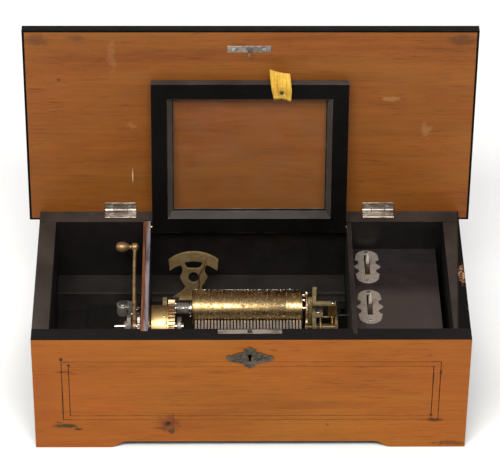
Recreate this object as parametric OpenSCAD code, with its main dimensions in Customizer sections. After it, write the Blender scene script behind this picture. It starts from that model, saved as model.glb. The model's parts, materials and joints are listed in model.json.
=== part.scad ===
// Lever-wound cylinder music box in a wooden case, shown with both lids open.
// Every module is drawn from the front left-right centre of the case: X across, Y from the
// front face to the back, Z up from the table. at_case() then centres the whole object.

/* [Case] */
// Outer width of the case
case_w = 400; // [380:1:420]
// Outer depth of the case
case_d = 190; // [186:1:200]
// Height of the case without its lid
case_h = 131; // [128:1:140]
// Thickness of the four walls
wall_t = 16; // [14:1:17]
// Height of the sound board's top face
floor_z = 44; // [42:1:45]
// Height of the cut-out between the bracket feet
foot_cut_h = 7.5; // [4:0.5:12]
// Length of one bracket foot on the floor
foot_len = 69; // [50:1:90]

/* [Lids] */
// Thickness of the lid
lid_t = 9; // [8:0.5:12]
// Overhang of the lid past the case at the front
lid_front = 8; // [6:0.5:12]
// Overhang of the lid past each end
lid_side = 10.5; // [8:0.5:14]
// Lean of the open lid, backwards from upright
lid_lean = 3.5; // [2:0.5:5]
// Thickness of the glazed inner lid
glazed_t = 10; // [8:0.5:10]
// Width of the glazed lid's rails
glazed_rail_w = 15; // [12:0.5:20]
// Lean of the open glazed lid
glazed_lean = 9.4; // [6:0.1:9.4]

/* [Movement] */
// Outer radius of the pinned cylinder
cyl_r = 17.3; // [16:0.1:17.5]
// Number of comb teeth
comb_teeth = 33; // [20:1:33]
// Teeth on the great wheel
great_teeth = 44; // [44]
// Leaves on the cylinder pinion
pinion_leaves = 8; // [8]
// Gear module of the great wheel
great_m = 1.1; // [1.1]
// Outer radius of the spring barrel
barrel_r = 20; // [18:0.5:20]
// Length of the winding lever, arbor to handle
lever_len = 82; // [70:1:84]
// Angle of the winding lever above horizontal, laid back
lever_angle = 27; // [24:1:30]

/* [Hidden] */
$fn = 64;

// colours
brass = [0.72, 0.56, 0.28];
steel = [0.62, 0.62, 0.64];
nickel = [0.66, 0.60, 0.54];
ebonised = [0.10, 0.09, 0.09];
fruitwood = [0.62, 0.36, 0.16];
iron = [0.16, 0.16, 0.16];

// running clearance of a shaft in its bore, and the gap kept between separate moving pieces
run = 0.05;
gap = 0.3;

// case
in_x = case_w / 2 - wall_t;
in_y0 = wall_t;
in_y1 = case_d - wall_t;
board_t = 14;
rail_y0 = 146;
rail_top = 66;
batten_y0 = 139.5;
batten_y1 = 145.9;
batten_top = 62;
bed_top = 51;
bed_x0 = -154;
bed_x1 = 88;
bed_y0 = 40;
bed_y1 = 145;
bed_screws = [
  [bed_x0 + 46, bed_y1 - 4], [bed_x0 + 10, bed_y0 + 8], [bed_x1 - 6, bed_y1 - 12], [bed_x1 - 8, bed_y0 + 8]
];
part_top = 130;
left_part = [-101, -94];
right_part = [92.4, 96.7];
left_housing = 3;
right_housing = 7;
deck_top = 98;
deck_t = 4;
deck_x1 = 178.5;
string_w = 0.8;
string_deep = 0.6;
string_out = [173.3, 34.5, 105];
string_in = [166.8, 39.5, 99.2];

// lock
lock_x = -1.4;
lock_y0 = 9;
lock_y1 = 15;
selvedge_half = 29.2;
selvedge_t = 2;
lock_half = 22;
lock_bottom = 98;
staple_half = 4;
bolt_z = 124;
escutcheon_t = 1.2;
escutcheon_z = 110.5;

// lid hinges
hinge_y = case_d + 1.5;
hinge_z = case_h + 0.5;
hinge_x = 123.1;
hinge_w = 30;
hinge_r = 2.2;
hinge_pin_r = 1;
leaf_t = 1.2;
leaf_reach = 10.5;
lid_leaf_reach = 8.5;
lid_z0 = case_h + gap;
lid_z1 = lid_z0 + lid_t;
lid_y0 = -lid_front;
lid_y1 = hinge_y + 11;
lid_x = case_w / 2 + lid_side;
band_w = 2.2;
strike_half = 20.2;

// glazed lid
glazed_y = 170.3;
glazed_z = 127.5;
glazed_x0 = -92.5;
glazed_x1 = 91.6;
glazed_y0 = in_y0 + gap;
glazed_y1 = glazed_y + 2.1;
glazed_z1 = 130.3;
glazed_z0 = glazed_z1 - glazed_t;
glazed_pin_r = 1.5;
pane_t = 1.5;
rail_splay = 6;
pane_z = glazed_z1 - 2.3;
pane_rail = glazed_rail_w + 3;
ribbon_x = [17.6, 36];
tack_x = 28.8;
tack_y = glazed_y0 + 6.5;

// winding gear, all on one arbor
arb_y = 81.3;
arb_z = 78.8;
arb_r = 3;
barrel_x0 = -93.2;
barrel_x1 = -76.5;
barrel_wall = 1.8;
great_x = [-76.5, -70.6];
hub_x = [-110.6, -106.8];
ratchet_x = [-106, -103.2];
ratchet_teeth = 20;
ratchet_r = 9;
lbracket_x = [-115.6, -111.6];
rbracket_x = [-68.6, -64.6];
lug_x = -121.2;
lug_y = 135;
lug_top = 62;
click_pin_r = 12.6;
hold_y = 93;
hold_z = 64.5;
spring_steps = 150;

// cylinder
cyl_y = 110;
cyl_z = 77;
cyl_x0 = -54.7;
cyl_x1 = 49.6;
carb_r = 2.5;
pin_r = 0.25;
pin_top = 17.9;
pinion_x = [-77.2, -70];
coil_r = 5;
coil_wire = 0.72;
snail_x = [-56.6, -55.2];
lcock_x = [-82.4, -78.4];
rcock_x = [54.7, 58.5];
cwheel_x = [52.7, 54.2];
cwheel_teeth = 60;
cwheel_m = 0.5;
// direction from the barrel axis to the cylinder axis, which sets the phases that mesh the teeth
mesh_dir = atan2(cyl_z - arb_z, cyl_y - arb_y);
pinion_phase = mesh_dir + 180 + 180 / pinion_leaves;

// comb
tooth_pitch = 3.07;
tooth_w = 2.1;
tooth_t = 1.4;
tooth_x0 = -51;
comb_tip_y = 91.8;
comb_root_y = 62;
comb_top = 77.7;
comb_base_top = 74;
comb_plate_y0 = 50;
comb_x = [-56, 52];
comb_screws = [-42, -22, -2, 18, 38];
comb_screw_y = 56;

// governor: two arbors along X and one upright endless screw
gov_m = 0.4;
gov_leaves = 10;
gov1_teeth = 50;
gov1_x = [66, 67.2];
gov1_dist = cwheel_m * (cwheel_teeth + gov_leaves) / 2 + 0.15;
gov1_dir = 230;
gov1_y = cyl_y + gov1_dist * cos(gov1_dir);
gov1_z = cyl_z + gov1_dist * sin(gov1_dir);
gov2_dist = gov_m * (gov1_teeth + gov_leaves) / 2 + 0.12;
gov2_dir = 10;
gov2_y = gov1_y + gov2_dist * cos(gov2_dir);
gov2_z = gov1_z + gov2_dist * sin(gov2_dir);
worm_teeth = 24;
worm_x = [77.4, 78.6];
worm_r = 1.3;
screw_x = 78;
screw_y = gov2_y - gov_m * worm_teeth / 2 - gov_m - worm_r - gap;
screw_z = [53.2, 88];
fly_z = [71.2, 85.5];
fly_r = 4.3;
cheek_l = [59, 62.4];
cheek_r = [80.6, 83];
gov_y0 = 86;
gov_y1 = 116;
gov_top = 74.4;
gov_plate_x = 69;
gov_plate_t = 1.8;
gov_arm_z = [86.4, 89];

// tune indicator
ind_x = -53.4;
ind_y0 = 143.8;
ind_y1 = 145.6;
ind_hole_z = 87;
ind_r = 33.3;
ind_in_r = 22;
ptr_x = -50;
ptr_z = 70;
ptr_stud_r = 0.9;

// control levers
ctl_x = 112;
ctl_front = 85.8;
ctl_rear = 145.3;
ctl_plate_t = 1.2;
ctl_slot_shift = 3;
ctl_pivot_z = 66;
ctl_tip_z = 116;
stop_wire_y = 96;
stop_wire_z = 80;

// reach of the open lid behind the hinge line, and the shift that centres the whole object
lid_back = hinge_y + (hinge_y - lid_y0) * sin(lid_lean) + (lid_z1 - hinge_z) * cos(lid_lean);
y_shift = -(lid_back - escutcheon_t) / 2;

// ---- helpers ----

module at_case() translate([0, y_shift, 0]) children();

module block(x, y, z) translate([x[0], y[0], z[0]]) cube([x[1] - x[0], y[1] - y[0], z[1] - z[0]]);

// round bar along X
module rod_x(r, x, y, z) translate([x[0], y, z]) rotate([0, 90, 0]) cylinder(r = r, h = x[1] - x[0]);

// round bar along Z
module rod_z(r, x, y, z) translate([x, y, z[0]]) cylinder(r = r, h = z[1] - z[0]);

// a profile drawn in (Y, Z) and carried along X
module slab_x(x, y = 0, z = 0)
  translate([x[0], y, z]) rotate([90, 0, 90]) linear_extrude(x[1] - x[0]) children();

// turns a closed lid back to its open pose
module opened(y, z, angle) translate([0, y, z]) rotate([-angle, 0, 0]) translate([0, -y, -z]) children();

module lid_pose() at_case() opened(hinge_y, hinge_z, 90 + lid_lean) children();

module glazed_pose() at_case() opened(glazed_y, glazed_z, 90 + glazed_lean) children();

// straight-flanked gear outline; share is the tooth's part of the pitch at root, pitch line and tip
function gear_points(teeth, m, add, ded, share, phase) = [
  for (i = [0:teeth - 1], k = [-3, -2, -1, 1, 2, 3])
    let (
      level = 3 - abs(k),
      r = m * teeth / 2 + (level == 0 ? -ded : level == 1 ? 0 : add) * m,
      a = (i + (k < 0 ? -1 : 1) * share[level] / 2) * 360 / teeth + phase
    ) [r * cos(a), r * sin(a)]
];

module wheel_outline(teeth, m, phase = 0)
  polygon(gear_points(teeth, m, 0.9, 1.2, [0.56, 0.4, 0.14], phase));

module pinion_outline(teeth, m, phase = 0)
  polygon(gear_points(teeth, m, 0.6, 1.25, [0.42, 0.34, 0.16], phase));

// slotted screw with its head on top, pointing down
module screw_down(x, y, z, r, head_t, depth) translate([x, y, z]) {
  difference() {
    cylinder(r = r, h = head_t);
    translate([-r, -r / 8, head_t * 0.55]) cube([2 * r, r / 4, head_t]);
  }
  translate([0, 0, -depth]) cylinder(r = r * 0.5, h = depth);
}

// ---- case ----

module bracket_cut() {
  ogee = 16;
  half = case_w / 2 - foot_len;
  inner = half - ogee;
  steps = 8;
  rise = [for (i = [0:steps]) [half - ogee * i / steps, foot_cut_h * (1 - cos(180 * i / steps)) / 2]];
  fall = [for (i = [steps:-1:0]) [-rise[i][0], rise[i][1]]];
  polygon(concat([[half, -1]], rise, fall, [[-half, -1]]));
}

module string_frame(size) translate([0, size[1]]) difference() {
  translate([-size[0] - string_w / 2, -string_w / 2])
    square([2 * size[0] + string_w, size[2] - size[1] + string_w]);
  translate([-size[0] + string_w / 2, string_w / 2])
    square([2 * size[0] - string_w, size[2] - size[1] - string_w]);
}

module string_bars() translate([0, string_deep, 0]) rotate([90, 0, 0]) linear_extrude(string_deep) {
  string_frame(string_out);
  string_frame(string_in);
}

module keyhole(y0, y1) translate([lock_x, y1, escutcheon_z + 2]) rotate([90, 0, 0]) {
  cylinder(r = 2.2, h = y1 - y0);
  translate([-1.1, -7, 0]) cube([2.2, 7, y1 - y0]);
}

module lock_room() {
  block(
    [lock_x - selvedge_half, lock_x + selvedge_half], [lock_y0, lock_y1],
    [case_h - selvedge_t, case_h + 1]
  );
  block([lock_x - lock_half, lock_x + lock_half], [lock_y0, lock_y1], [lock_bottom, case_h]);
}

module front_panel() color(fruitwood) at_case() difference() {
  block([-case_w / 2, case_w / 2], [0, wall_t], [0, case_h]);
  translate([0, wall_t + 1, 0]) rotate([90, 0, 0]) linear_extrude(wall_t + 2) bracket_cut();
  string_bars();
  keyhole(-1, lock_y0 + 1);
  lock_room();
  block(left_part, [in_y0 - left_housing, in_y0 + 1], [bed_top + gap, case_h + 1]);
  block(right_part, [in_y0 - right_housing, in_y0 + 1], [floor_z, case_h + 1]);
}

module hinge_places() for (side = [-1, 1]) translate([side * hinge_x, 0, 0]) children();

// room for a hinge's knuckles, in the back and in the lid
module knuckle_room() hinge_places()
  rod_x(hinge_r + 0.4, [-hinge_w / 2 - 0.5, hinge_w / 2 + 0.5], hinge_y, hinge_z);

module back_panel() color(ebonised) at_case() difference() {
  block([-case_w / 2, case_w / 2], [in_y1, case_d], [0, case_h]);
  knuckle_room();
  hinge_places()
    block([-hinge_w / 2, hinge_w / 2], [hinge_y - leaf_reach, case_d + 1], [case_h - leaf_t, case_h + 1]);
  hinge_screw_holes();
  block(left_part, [in_y1 - 1, in_y1 + left_housing], [rail_top, case_h + 1]);
}

module end_panel(side) color(ebonised) at_case() mirror([side < 0 ? 1 : 0, 0, 0])
  block([in_x, case_w / 2], [in_y0, in_y1], [0, case_h]);

module left_end() end_panel(-1);
module right_end() end_panel(1);

module bottom_board() color(ebonised) at_case()
  block([-in_x, in_x], [in_y0, in_y1], [floor_z - board_t, floor_z]);

module front_stringing() color([0.2, 0.1, 0.05]) at_case() string_bars();

// winged plate with a stepped top and a pointed foot, pierced by the keyhole
module escutcheon() color([0.20, 0.17, 0.13]) at_case() difference() {
  side = [
    [1.8, 11.4], [5.7, 9.5], [6.2, 5.3], [10.9, 5], [14.8, 3.6], [16.7, 2], [19.6, 2.2],
    [22.2, -1], [20.4, -3.8], [11.2, -6.1], [6.1, -8]
  ];
  last = len(side) - 1;
  translate([lock_x, 0, escutcheon_z]) rotate([90, 0, 0]) linear_extrude(escutcheon_t) polygon(concat(
    [[0, 12.5]], side, [[0, -13.2]], [for (i = [last:-1:0]) [-side[i][0], side[i][1]]]
  ));
  keyhole(-escutcheon_t - 1, 1);
}

module lock_case() color(nickel) at_case() difference() {
  union() {
    block(
      [lock_x - selvedge_half, lock_x + selvedge_half], [lock_y0, lock_y1],
      [case_h - selvedge_t, case_h]
    );
    block([lock_x - lock_half, lock_x + lock_half], [lock_y0, lock_y1], [lock_bottom, case_h - selvedge_t]);
  }
  block(
    [lock_x - lock_half + 1, lock_x + lock_half - 1], [lock_y0 + 1, lock_y1 - 1],
    [lock_bottom + 1, case_h - selvedge_t]
  );
  block([lock_x - 2.2, lock_x + 2.2], [lock_y0 + 0.8, lock_y1 - 0.8], [case_h - 3, case_h + 1]);
  keyhole(lock_y0 - 1, lock_y0 + 2);
}

// bolt that slides across under the selvedge into the staple's eye
module lock_bolt() color(steel) at_case() {
  block([lock_x - 14, lock_x - staple_half], [lock_y0 + 2.3, lock_y1 - 2.3], [bolt_z - 1.4, bolt_z + 1.4]);
  block([lock_x - 14, lock_x - 9], [lock_y0 + 2.3, lock_y1 - 2.3], [106, bolt_z - 1.4]);
}

module rear_rail() color(ebonised) at_case()
  block([-in_x, right_part[0] - gap], [rail_y0, in_y1], [floor_z, rail_top]);

module rear_batten() color(ebonised) at_case()
  block([left_part[1] + gap, right_part[0] - gap], [batten_y0, batten_y1], [bed_top, batten_top]);

// stands on the bedplate and steps over the rear rail
module left_partition() color(ebonised) at_case() difference() {
  slab_x(left_part) polygon([
    [in_y0 - left_housing, bed_top + gap], [rail_y0 - gap, bed_top + gap], [rail_y0 - gap, rail_top],
    [in_y1 + left_housing, rail_top], [in_y1 + left_housing, part_top], [in_y0 - left_housing, part_top]
  ]);
  rod_x(arb_r + 1.5, [left_part[0] - 1, left_part[1] + 1], arb_y, arb_z);
  glazed_pin_holes();
}

module right_partition() color(ebonised) at_case() difference() {
  block(right_part, [in_y0 - right_housing, in_y1], [floor_z, part_top]);
  block(
    [right_part[0] - 1, right_part[1] + 1], [stop_wire_y - 3, stop_wire_y + 6],
    [stop_wire_z - 5, stop_wire_z + 3]
  );
  glazed_pin_holes();
}

// deck over the control levers, held up by a cheek along its right edge
module control_deck() color(ebonised) at_case() difference() {
  union() {
    block([right_part[1] + gap, deck_x1], [in_y0 + gap, in_y1 - gap], [deck_top - deck_t, deck_top]);
    block([deck_x1 - 5, deck_x1], [in_y0 + gap, in_y1 - gap], [floor_z, deck_top]);
  }
  for (y = [ctl_front, ctl_rear])
    block(
      [ctl_x - 3.2, ctl_x + 3.2], [y + ctl_slot_shift - 16, y + ctl_slot_shift + 16],
      [deck_top - deck_t - 1, deck_top + 1]
    );
  for (y = [ctl_front, ctl_rear], k = [-1, 1])
    translate([ctl_x, y + k * 21, deck_top - 2.5]) cylinder(r = 0.9, h = 3);
}

module glass_ledge() color(ebonised) at_case()
  block(
    [left_part[1] + gap, right_part[0] - gap], [in_y0, in_y0 + 4],
    [glazed_z0 - gap - 6, glazed_z0 - gap]
  );

// ---- hinges and lids ----

module hinge_screw_holes() hinge_places() for (k = [-1, 1])
  rod_z(1, k * 9, case_d - 5, [case_h - 8, case_h]);

module hinge_case_leaves() color(nickel) at_case() hinge_places() difference() {
  union() {
    block([-hinge_w / 2, hinge_w / 2], [hinge_y - leaf_reach, hinge_y - 1.2], [case_h - leaf_t, case_h]);
    for (k = [-1, 1]) rod_x(hinge_r, k < 0 ? [-hinge_w / 2, -6.7] : [6.7, hinge_w / 2], hinge_y, hinge_z);
  }
  rod_x(hinge_r + 0.4, [-6.7, 6.7], hinge_y, hinge_z);
  rod_x(hinge_pin_r + run, [-hinge_w, hinge_w], hinge_y, hinge_z);
  for (k = [-1, 1]) rod_z(1, k * 9, case_d - 5, [case_h - 3, case_h + 1]);
}

module hinge_pins() color(steel) at_case() hinge_places()
  rod_x(hinge_pin_r, [-hinge_w / 2, hinge_w / 2], hinge_y, hinge_z);

module case_screws() color(steel) at_case() {
  hinge_places() for (k = [-1, 1]) {
    rod_z(1.9, k * 9, case_d - 5, [case_h, case_h + 0.2]);
    rod_z(1, k * 9, case_d - 5, [case_h - 8, case_h]);
  }
  for (y = [ctl_front, ctl_rear], k = [-1, 1]) {
    rod_z(1.7, ctl_x, y + k * 21, [deck_top + ctl_plate_t, deck_top + ctl_plate_t + 0.5]);
    rod_z(0.9, ctl_x, y + k * 21, [deck_top - 2.5, deck_top + ctl_plate_t]);
  }
}

module lid_leaf() hinge_places()
  block([-hinge_w / 2, hinge_w / 2], [hinge_y - lid_leaf_reach, hinge_y], [lid_z0, lid_z0 + leaf_t]);

module hinge_lid_leaves() color(nickel) lid_pose() difference() {
  union() {
    lid_leaf();
    hinge_places() rod_x(hinge_r, [-6.4, 6.4], hinge_y, hinge_z);
  }
  for (k = [-1, 1]) hinge_places()
    rod_x(hinge_r + 0.4, k < 0 ? [-hinge_w, -6.4] : [6.4, hinge_w], hinge_y, hinge_z);
  hinge_places() rod_x(hinge_pin_r + run, [-hinge_w, hinge_w], hinge_y, hinge_z);
  lid_screw_shanks();
}

module lid_screw_places() {
  hinge_places() for (k = [-1, 1]) translate([k * 9, hinge_y - 5.6, lid_z0 + leaf_t]) children();
  for (k = [-1, 1]) translate([lock_x + k * 14, (lock_y0 + lock_y1) / 2, lid_z0 + leaf_t]) children();
}

module lid_screw_shanks() lid_screw_places() translate([0, 0, -leaf_t]) cylinder(r = 0.9, h = 6, $fn = 24);

module lid_screws() color(steel) lid_pose() lid_screw_shanks();

module lid_panel() color(fruitwood) lid_pose() difference() {
  block([-lid_x + band_w, lid_x - band_w], [lid_y0 + band_w, lid_y1 - band_w], [lid_z0, lid_z1]);
  knuckle_room();
  lid_leaf();
  strike_base();
  lid_screw_shanks();
}

module lid_edge_bands() color(ebonised) lid_pose() {
  for (edge = [[lid_y0, lid_y0 + band_w], [lid_y1, lid_y1 - band_w]])
    translate([0, 0, lid_z0]) linear_extrude(lid_t) polygon([
      [-lid_x, edge[0]], [lid_x, edge[0]], [lid_x - band_w, edge[1]], [-lid_x + band_w, edge[1]]
    ]);
  for (s = [-1, 1]) translate([0, 0, lid_z0]) linear_extrude(lid_t) polygon([
    [s * lid_x, lid_y0], [s * lid_x, lid_y1], [s * (lid_x - band_w), lid_y1 - band_w],
    [s * (lid_x - band_w), lid_y0 + band_w]
  ]);
}

module strike_base() block(
  [lock_x - strike_half, lock_x + strike_half], [lock_y0 - 0.5, lock_y1 + 0.5],
  [lid_z0, lid_z0 + leaf_t]
);

// plate let into the lid, with the staple that drops through the selvedge
module strike_plate() color(nickel) lid_pose() {
  difference() {
    strike_base();
    lid_screw_shanks();
  }
  difference() {
    block([lock_x - 1, lock_x + 1], [lock_y0 + 1.5, lock_y1 - 1.4], [bolt_z - 3.4, lid_z0]);
    block([lock_x - 2, lock_x + 2], [lock_y0 + 2.1, lock_y1 - 2.1], [bolt_z - 2, bolt_z + 2]);
  }
}

// sockets for the pivot pins in the two partitions
module glazed_pin_holes()
  for (x = [[left_part[1] - 3, left_part[1] + 1], [right_part[0] - 1, right_part[0] + 3]])
    rod_x(glazed_pin_r, x, glazed_y, glazed_z);

module pane_room()
  block([glazed_x0 + pane_rail, glazed_x1 - pane_rail], [glazed_y0 + pane_rail, glazed_y1 - pane_rail],
    [pane_z, pane_z + pane_t]);

// section of the opening between two rails, splayed so that it is wider underneath
module splay_section(a, b) {
  low = glazed_rail_w - rail_splay / glazed_t;
  high = glazed_rail_w + rail_splay * (1 + 1 / glazed_t);
  polygon([
    [a + low, glazed_z0 - 1], [b - low, glazed_z0 - 1], [b - high, glazed_z1 + 1], [a + high, glazed_z1 + 1]
  ]);
}

module splayed_opening() intersection() {
  slab_x([glazed_x0, glazed_x1]) splay_section(glazed_y0, glazed_y1);
  translate([0, glazed_y1, 0]) rotate([90, 0, 0]) linear_extrude(glazed_y1 - glazed_y0)
    splay_section(glazed_x0, glazed_x1);
}

// four rails grooved for the pane
module glazed_frame() color(ebonised) glazed_pose() difference() {
  block([glazed_x0, glazed_x1], [glazed_y0, glazed_y1], [glazed_z0, glazed_z1]);
  splayed_opening();
  pane_room();
  for (x = [[glazed_x0 - 1, glazed_x0 + 8], [glazed_x1 - 8, glazed_x1 + 1]])
    rod_x(glazed_pin_r + run, x, glazed_y, glazed_z);
  ribbon_tack_shank(0);
}

module glass_pane() color([0.8, 0.9, 0.9, 0.3]) glazed_pose() pane_room();

// folded silk loop tacked to the front rail, drawn as one flat bar
module ribbon_pull() color([0.75, 0.62, 0.20]) glazed_pose() difference() {
  block(ribbon_x, [glazed_y0 - 17, glazed_y0 + 14.5], [glazed_z0 - 2, glazed_z0 - gap]);
  ribbon_tack_shank(0.2);
}

module ribbon_tack_shank(extra) translate([tack_x, tack_y, glazed_z0 - 2.3])
  cylinder(r = 0.6 + extra, h = 6.3, $fn = 24);

module ribbon_tack() color(brass) glazed_pose() {
  ribbon_tack_shank(0);
  translate([tack_x, tack_y, glazed_z0 - 2.8]) cylinder(r = 2.2, h = 0.6);
}

// pivot pins from the two partitions into the ends of the glazed lid
module glazed_pivots() color(brass) at_case() {
  rod_x(glazed_pin_r, [left_part[1] - 3, glazed_x0 + 7], glazed_y, glazed_z);
  rod_x(glazed_pin_r, [glazed_x1 - 7, right_part[0] + 3], glazed_y, glazed_z);
}

// ---- bedplate and winding gear ----

module bedplate() color(iron) at_case() difference() {
  block([bed_x0, bed_x1], [bed_y0, bed_y1], [floor_z, bed_top]);
  for (p = bed_screws) rod_z(1.6, p[0], p[1], [floor_z - 1, bed_top + 1]);
}

module movement_screws() color(steel) at_case() {
  for (p = bed_screws) screw_down(p[0], p[1], bed_top, 3.2, 1.6, bed_top - floor_z);
  screw_down(lug_x, lug_y, lug_top, 4.4, 1.6, 5);
  for (x = comb_screws) screw_down(x, comb_screw_y, comb_top, 3, 1.6, 4);
  screw_down((cheek_l[0] + gov_plate_x) / 2, 106, gov_top + gov_plate_t, 4, 2, gov_plate_t);
}

// tall cock that carries the outer end of the arbor, with a screwed lug at its rear
module left_barrel_bracket() color(nickel) at_case() difference() {
  union() {
    slab_x(lbracket_x) polygon([
      [68, bed_top], [140, bed_top], [140, lug_top], [128, lug_top], [108, 68], [94, 80], [88, 88],
      [81, 90], [74, 86], [70, 78]
    ]);
    block([lug_x, lbracket_x[0] + 1], [lug_y - 5, lug_y + 5], [lug_top - 5, lug_top]);
    rod_z(6, lug_x, lug_y, [bed_top, lug_top]);
    rod_x(5.2, [-117.6, lbracket_x[0]], arb_y, arb_z);
  }
  rod_x(arb_r + run, [-120, lbracket_x[1] + 1], arb_y, arb_z);
  rod_z(2.2, lug_x, lug_y, [lug_top - 5, lug_top + 1]);
}

module right_barrel_bracket() color(brass) at_case() difference() {
  union() {
    block(rbracket_x, [arb_y - 9, arb_y + 9], [bed_top, arb_z]);
    rod_x(9, rbracket_x, arb_y, arb_z);
    block([rbracket_x[0], rbracket_x[1] + 7], [arb_y - 9, arb_y + 9], [bed_top, bed_top + 4]);
  }
  rod_x(arb_r + run, [rbracket_x[0] - 1, rbracket_x[1] + 1], arb_y, arb_z);
}

module winding_arbor() color(steel) at_case() {
  rod_x(2, [-127.7, -119.4], arb_y, arb_z);
  rod_x(arb_r, [-119.4, -62.5], arb_y, arb_z);
}

module ratchet_wheel() color(steel) at_case() difference() {
  slab_x(ratchet_x, arb_y, arb_z) polygon([
    for (i = [0:ratchet_teeth - 1], k = [0, 1])
      let (a = (i + (k == 0 ? 0 : 0.12)) * 360 / ratchet_teeth, r = k == 0 ? ratchet_r : ratchet_r - 1.5)
        [r * cos(a), r * sin(a)]
  ]);
  rod_x(arb_r, [ratchet_x[0] - 1, ratchet_x[1] + 1], arb_y, arb_z);
}

// places its children with the lever's own length along +Y before it is laid back
module lever_frame() at_case() translate([0, arb_y, arb_z]) rotate([lever_angle, 0, 0]) children();

module winding_lever() color(brass) lever_frame() difference() {
  union() {
    rod_x(6.2, hub_x, 0, 0);
    block(hub_x, [0, 16.5], [-3, 3]);
    translate([(hub_x[0] + hub_x[1]) / 2, 5, 0]) rotate([-90, 0, 0]) cylinder(r = 1.9, h = lever_len - 5);
    rod_x(3.4, [-112, -105.2], lever_len, 0);
  }
  rod_x(arb_r + run, [hub_x[0] - 1, hub_x[1] + 1], 0, 0);
  rod_x(1, [hub_x[0] - 1, hub_x[1] + 1], click_pin_r, 0);
}

// pear-shaped handle turned about its own axis
module lever_knob() color(brass) lever_frame() translate([-112, lever_len, 0]) rotate([0, -90, 0])
  rotate_extrude() polygon(concat(
    [[0, 0], [2.2, 0], [2.0, 1.2]],
    [for (a = [-50:10:90]) [5 * cos(a), 9.6 + (a < 0 ? 6 : 5.6) * sin(a)]]
  ));

// pawl carried by the lever, its nose just off the ratchet teeth
module drive_click() color(steel) lever_frame() {
  rod_x(1, [hub_x[0], ratchet_x[1]], click_pin_r, 0);
  difference() {
    slab_x(ratchet_x) polygon([
      [click_pin_r - 1.8, -2], [click_pin_r + 1.8, -1.8], [click_pin_r + 1.8, 2],
      [9.6, 5.2], [8.8, 6.4], [8.2, 5.6]
    ]);
    rod_x(1, [ratchet_x[0] - 1, ratchet_x[1] + 1], click_pin_r, 0);
  }
}

// spring-loaded holding click on its own post, in front of the partition
module holding_click() color(steel) at_case() {
  slab_x(ratchet_x, hold_y, hold_z) polygon([[-2.5, -2.5], [2.5, -2.5], [2.5, 2.5], [-2, 8.6], [-4.3, 7.6]]);
  block([ratchet_x[0], ratchet_x[1] - 0.4], [hold_y - 2, hold_y + 2], [bed_top, hold_z - 2.5]);
}

module barrel_drum() color(brass) at_case() difference() {
  rod_x(barrel_r, [barrel_x0, barrel_x1], arb_y, arb_z);
  rod_x(barrel_r - barrel_wall, [barrel_x0 + 1.6, barrel_x1 + 1], arb_y, arb_z);
  rod_x(arb_r + run, [barrel_x0 - 1, barrel_x0 + 2], arb_y, arb_z);
}

module great_wheel() color(brass) at_case() difference() {
  union() {
    slab_x([great_x[0], great_x[1]], arb_y, arb_z) wheel_outline(great_teeth, great_m, mesh_dir);
    rod_x(barrel_r - barrel_wall - 0.2, [great_x[0] - 1.4, great_x[0]], arb_y, arb_z);
  }
  rod_x(arb_r + run, [great_x[0] - 2, great_x[1] + 1], arb_y, arb_z);
  for (a = [0:60:300]) rod_x(4, [great_x[1] - 2, great_x[1] + 1], arb_y + 14 * cos(a), arb_z + 14 * sin(a));
}

// one edge of the coiled spring, off to one side of its middle line
function spiral(off) = [
  for (i = [0:spring_steps])
    let (a = 360 * 6.5 * i / spring_steps, r = 5 + 12.2 * i / spring_steps + off) [r * cos(a), r * sin(a)]
];

// coiled ribbon spring inside the barrel
module mainspring() color(steel) at_case()
  slab_x([barrel_x0 + 2.2, great_x[0] - 1.9], arb_y, arb_z) polygon(concat(
    spiral(0.35), [for (i = [spring_steps:-1:0]) let (back = spiral(-0.35)) back[i]]
  ));

// ---- cylinder ----

module cylinder_arbor() color(steel) at_case() rod_x(carb_r, [-83.5, 58.8], cyl_y, cyl_z);

module cylinder_pinion() color(steel) at_case() difference() {
  slab_x(pinion_x, cyl_y, cyl_z) pinion_outline(pinion_leaves, great_m, pinion_phase);
  rod_x(carb_r, [pinion_x[0] - 1, pinion_x[1] + 1], cyl_y, cyl_z);
}

// coil spring on the arbor, drawn as a sleeve of closed coils
module cylinder_spring() color(steel) at_case() translate([pinion_x[1], cyl_y, cyl_z]) rotate([0, 90, 0])
  rotate_extrude() {
    reach = snail_x[0] - pinion_x[1] - 2 * coil_wire;
    coils = floor(reach / (1.9 * coil_wire)) + 1;
    for (i = [0:coils]) translate([coil_r, coil_wire + reach * i / coils]) circle(r = coil_wire, $fn = 24);
  }

// stepped cam: one step for each tune
module snail_cam() color(steel) at_case() difference() {
  slab_x(snail_x, cyl_y, cyl_z) polygon([
    for (i = [0:7], k = [0:3]) let (a = 45 * i + 15 * k, r = 5.6 + 0.4 * i) [r * cos(a), r * sin(a)]
  ]);
  rod_x(carb_r, [snail_x[0] - 1, snail_x[1] + 1], cyl_y, cyl_z);
}

module cylinder_wheel() color(brass) at_case() difference() {
  slab_x(cwheel_x, cyl_y, cyl_z) wheel_outline(cwheel_teeth, cwheel_m, gov1_dir);
  rod_x(carb_r, [cwheel_x[0] - 1, cwheel_x[1] + 1], cyl_y, cyl_z);
}

module tune_cylinder() color(brass) at_case() difference() {
  rod_x(cyl_r, [cyl_x0, cyl_x1], cyl_y, cyl_z);
  rod_x(cyl_r - 1.3, [cyl_x0 + 2.5, cyl_x1 - 2.5], cyl_y, cyl_z);
  rod_x(carb_r + run, [cyl_x0 - 1, cyl_x1 + 1], cyl_y, cyl_z);
}

// four pins a tooth, scattered round the barrel by a fixed turn
module cylinder_pins() color(steel) at_case() for (i = [0:comb_teeth - 1], k = [0:3])
  translate([tooth_x0 + i * tooth_pitch - 0.6 + 0.4 * k, cyl_y, cyl_z])
    rotate([i * 137.5 + k * 83, 0, 0]) translate([0, 0, cyl_r])
      cylinder(r = pin_r, h = pin_top - cyl_r, $fn = 6);

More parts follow.
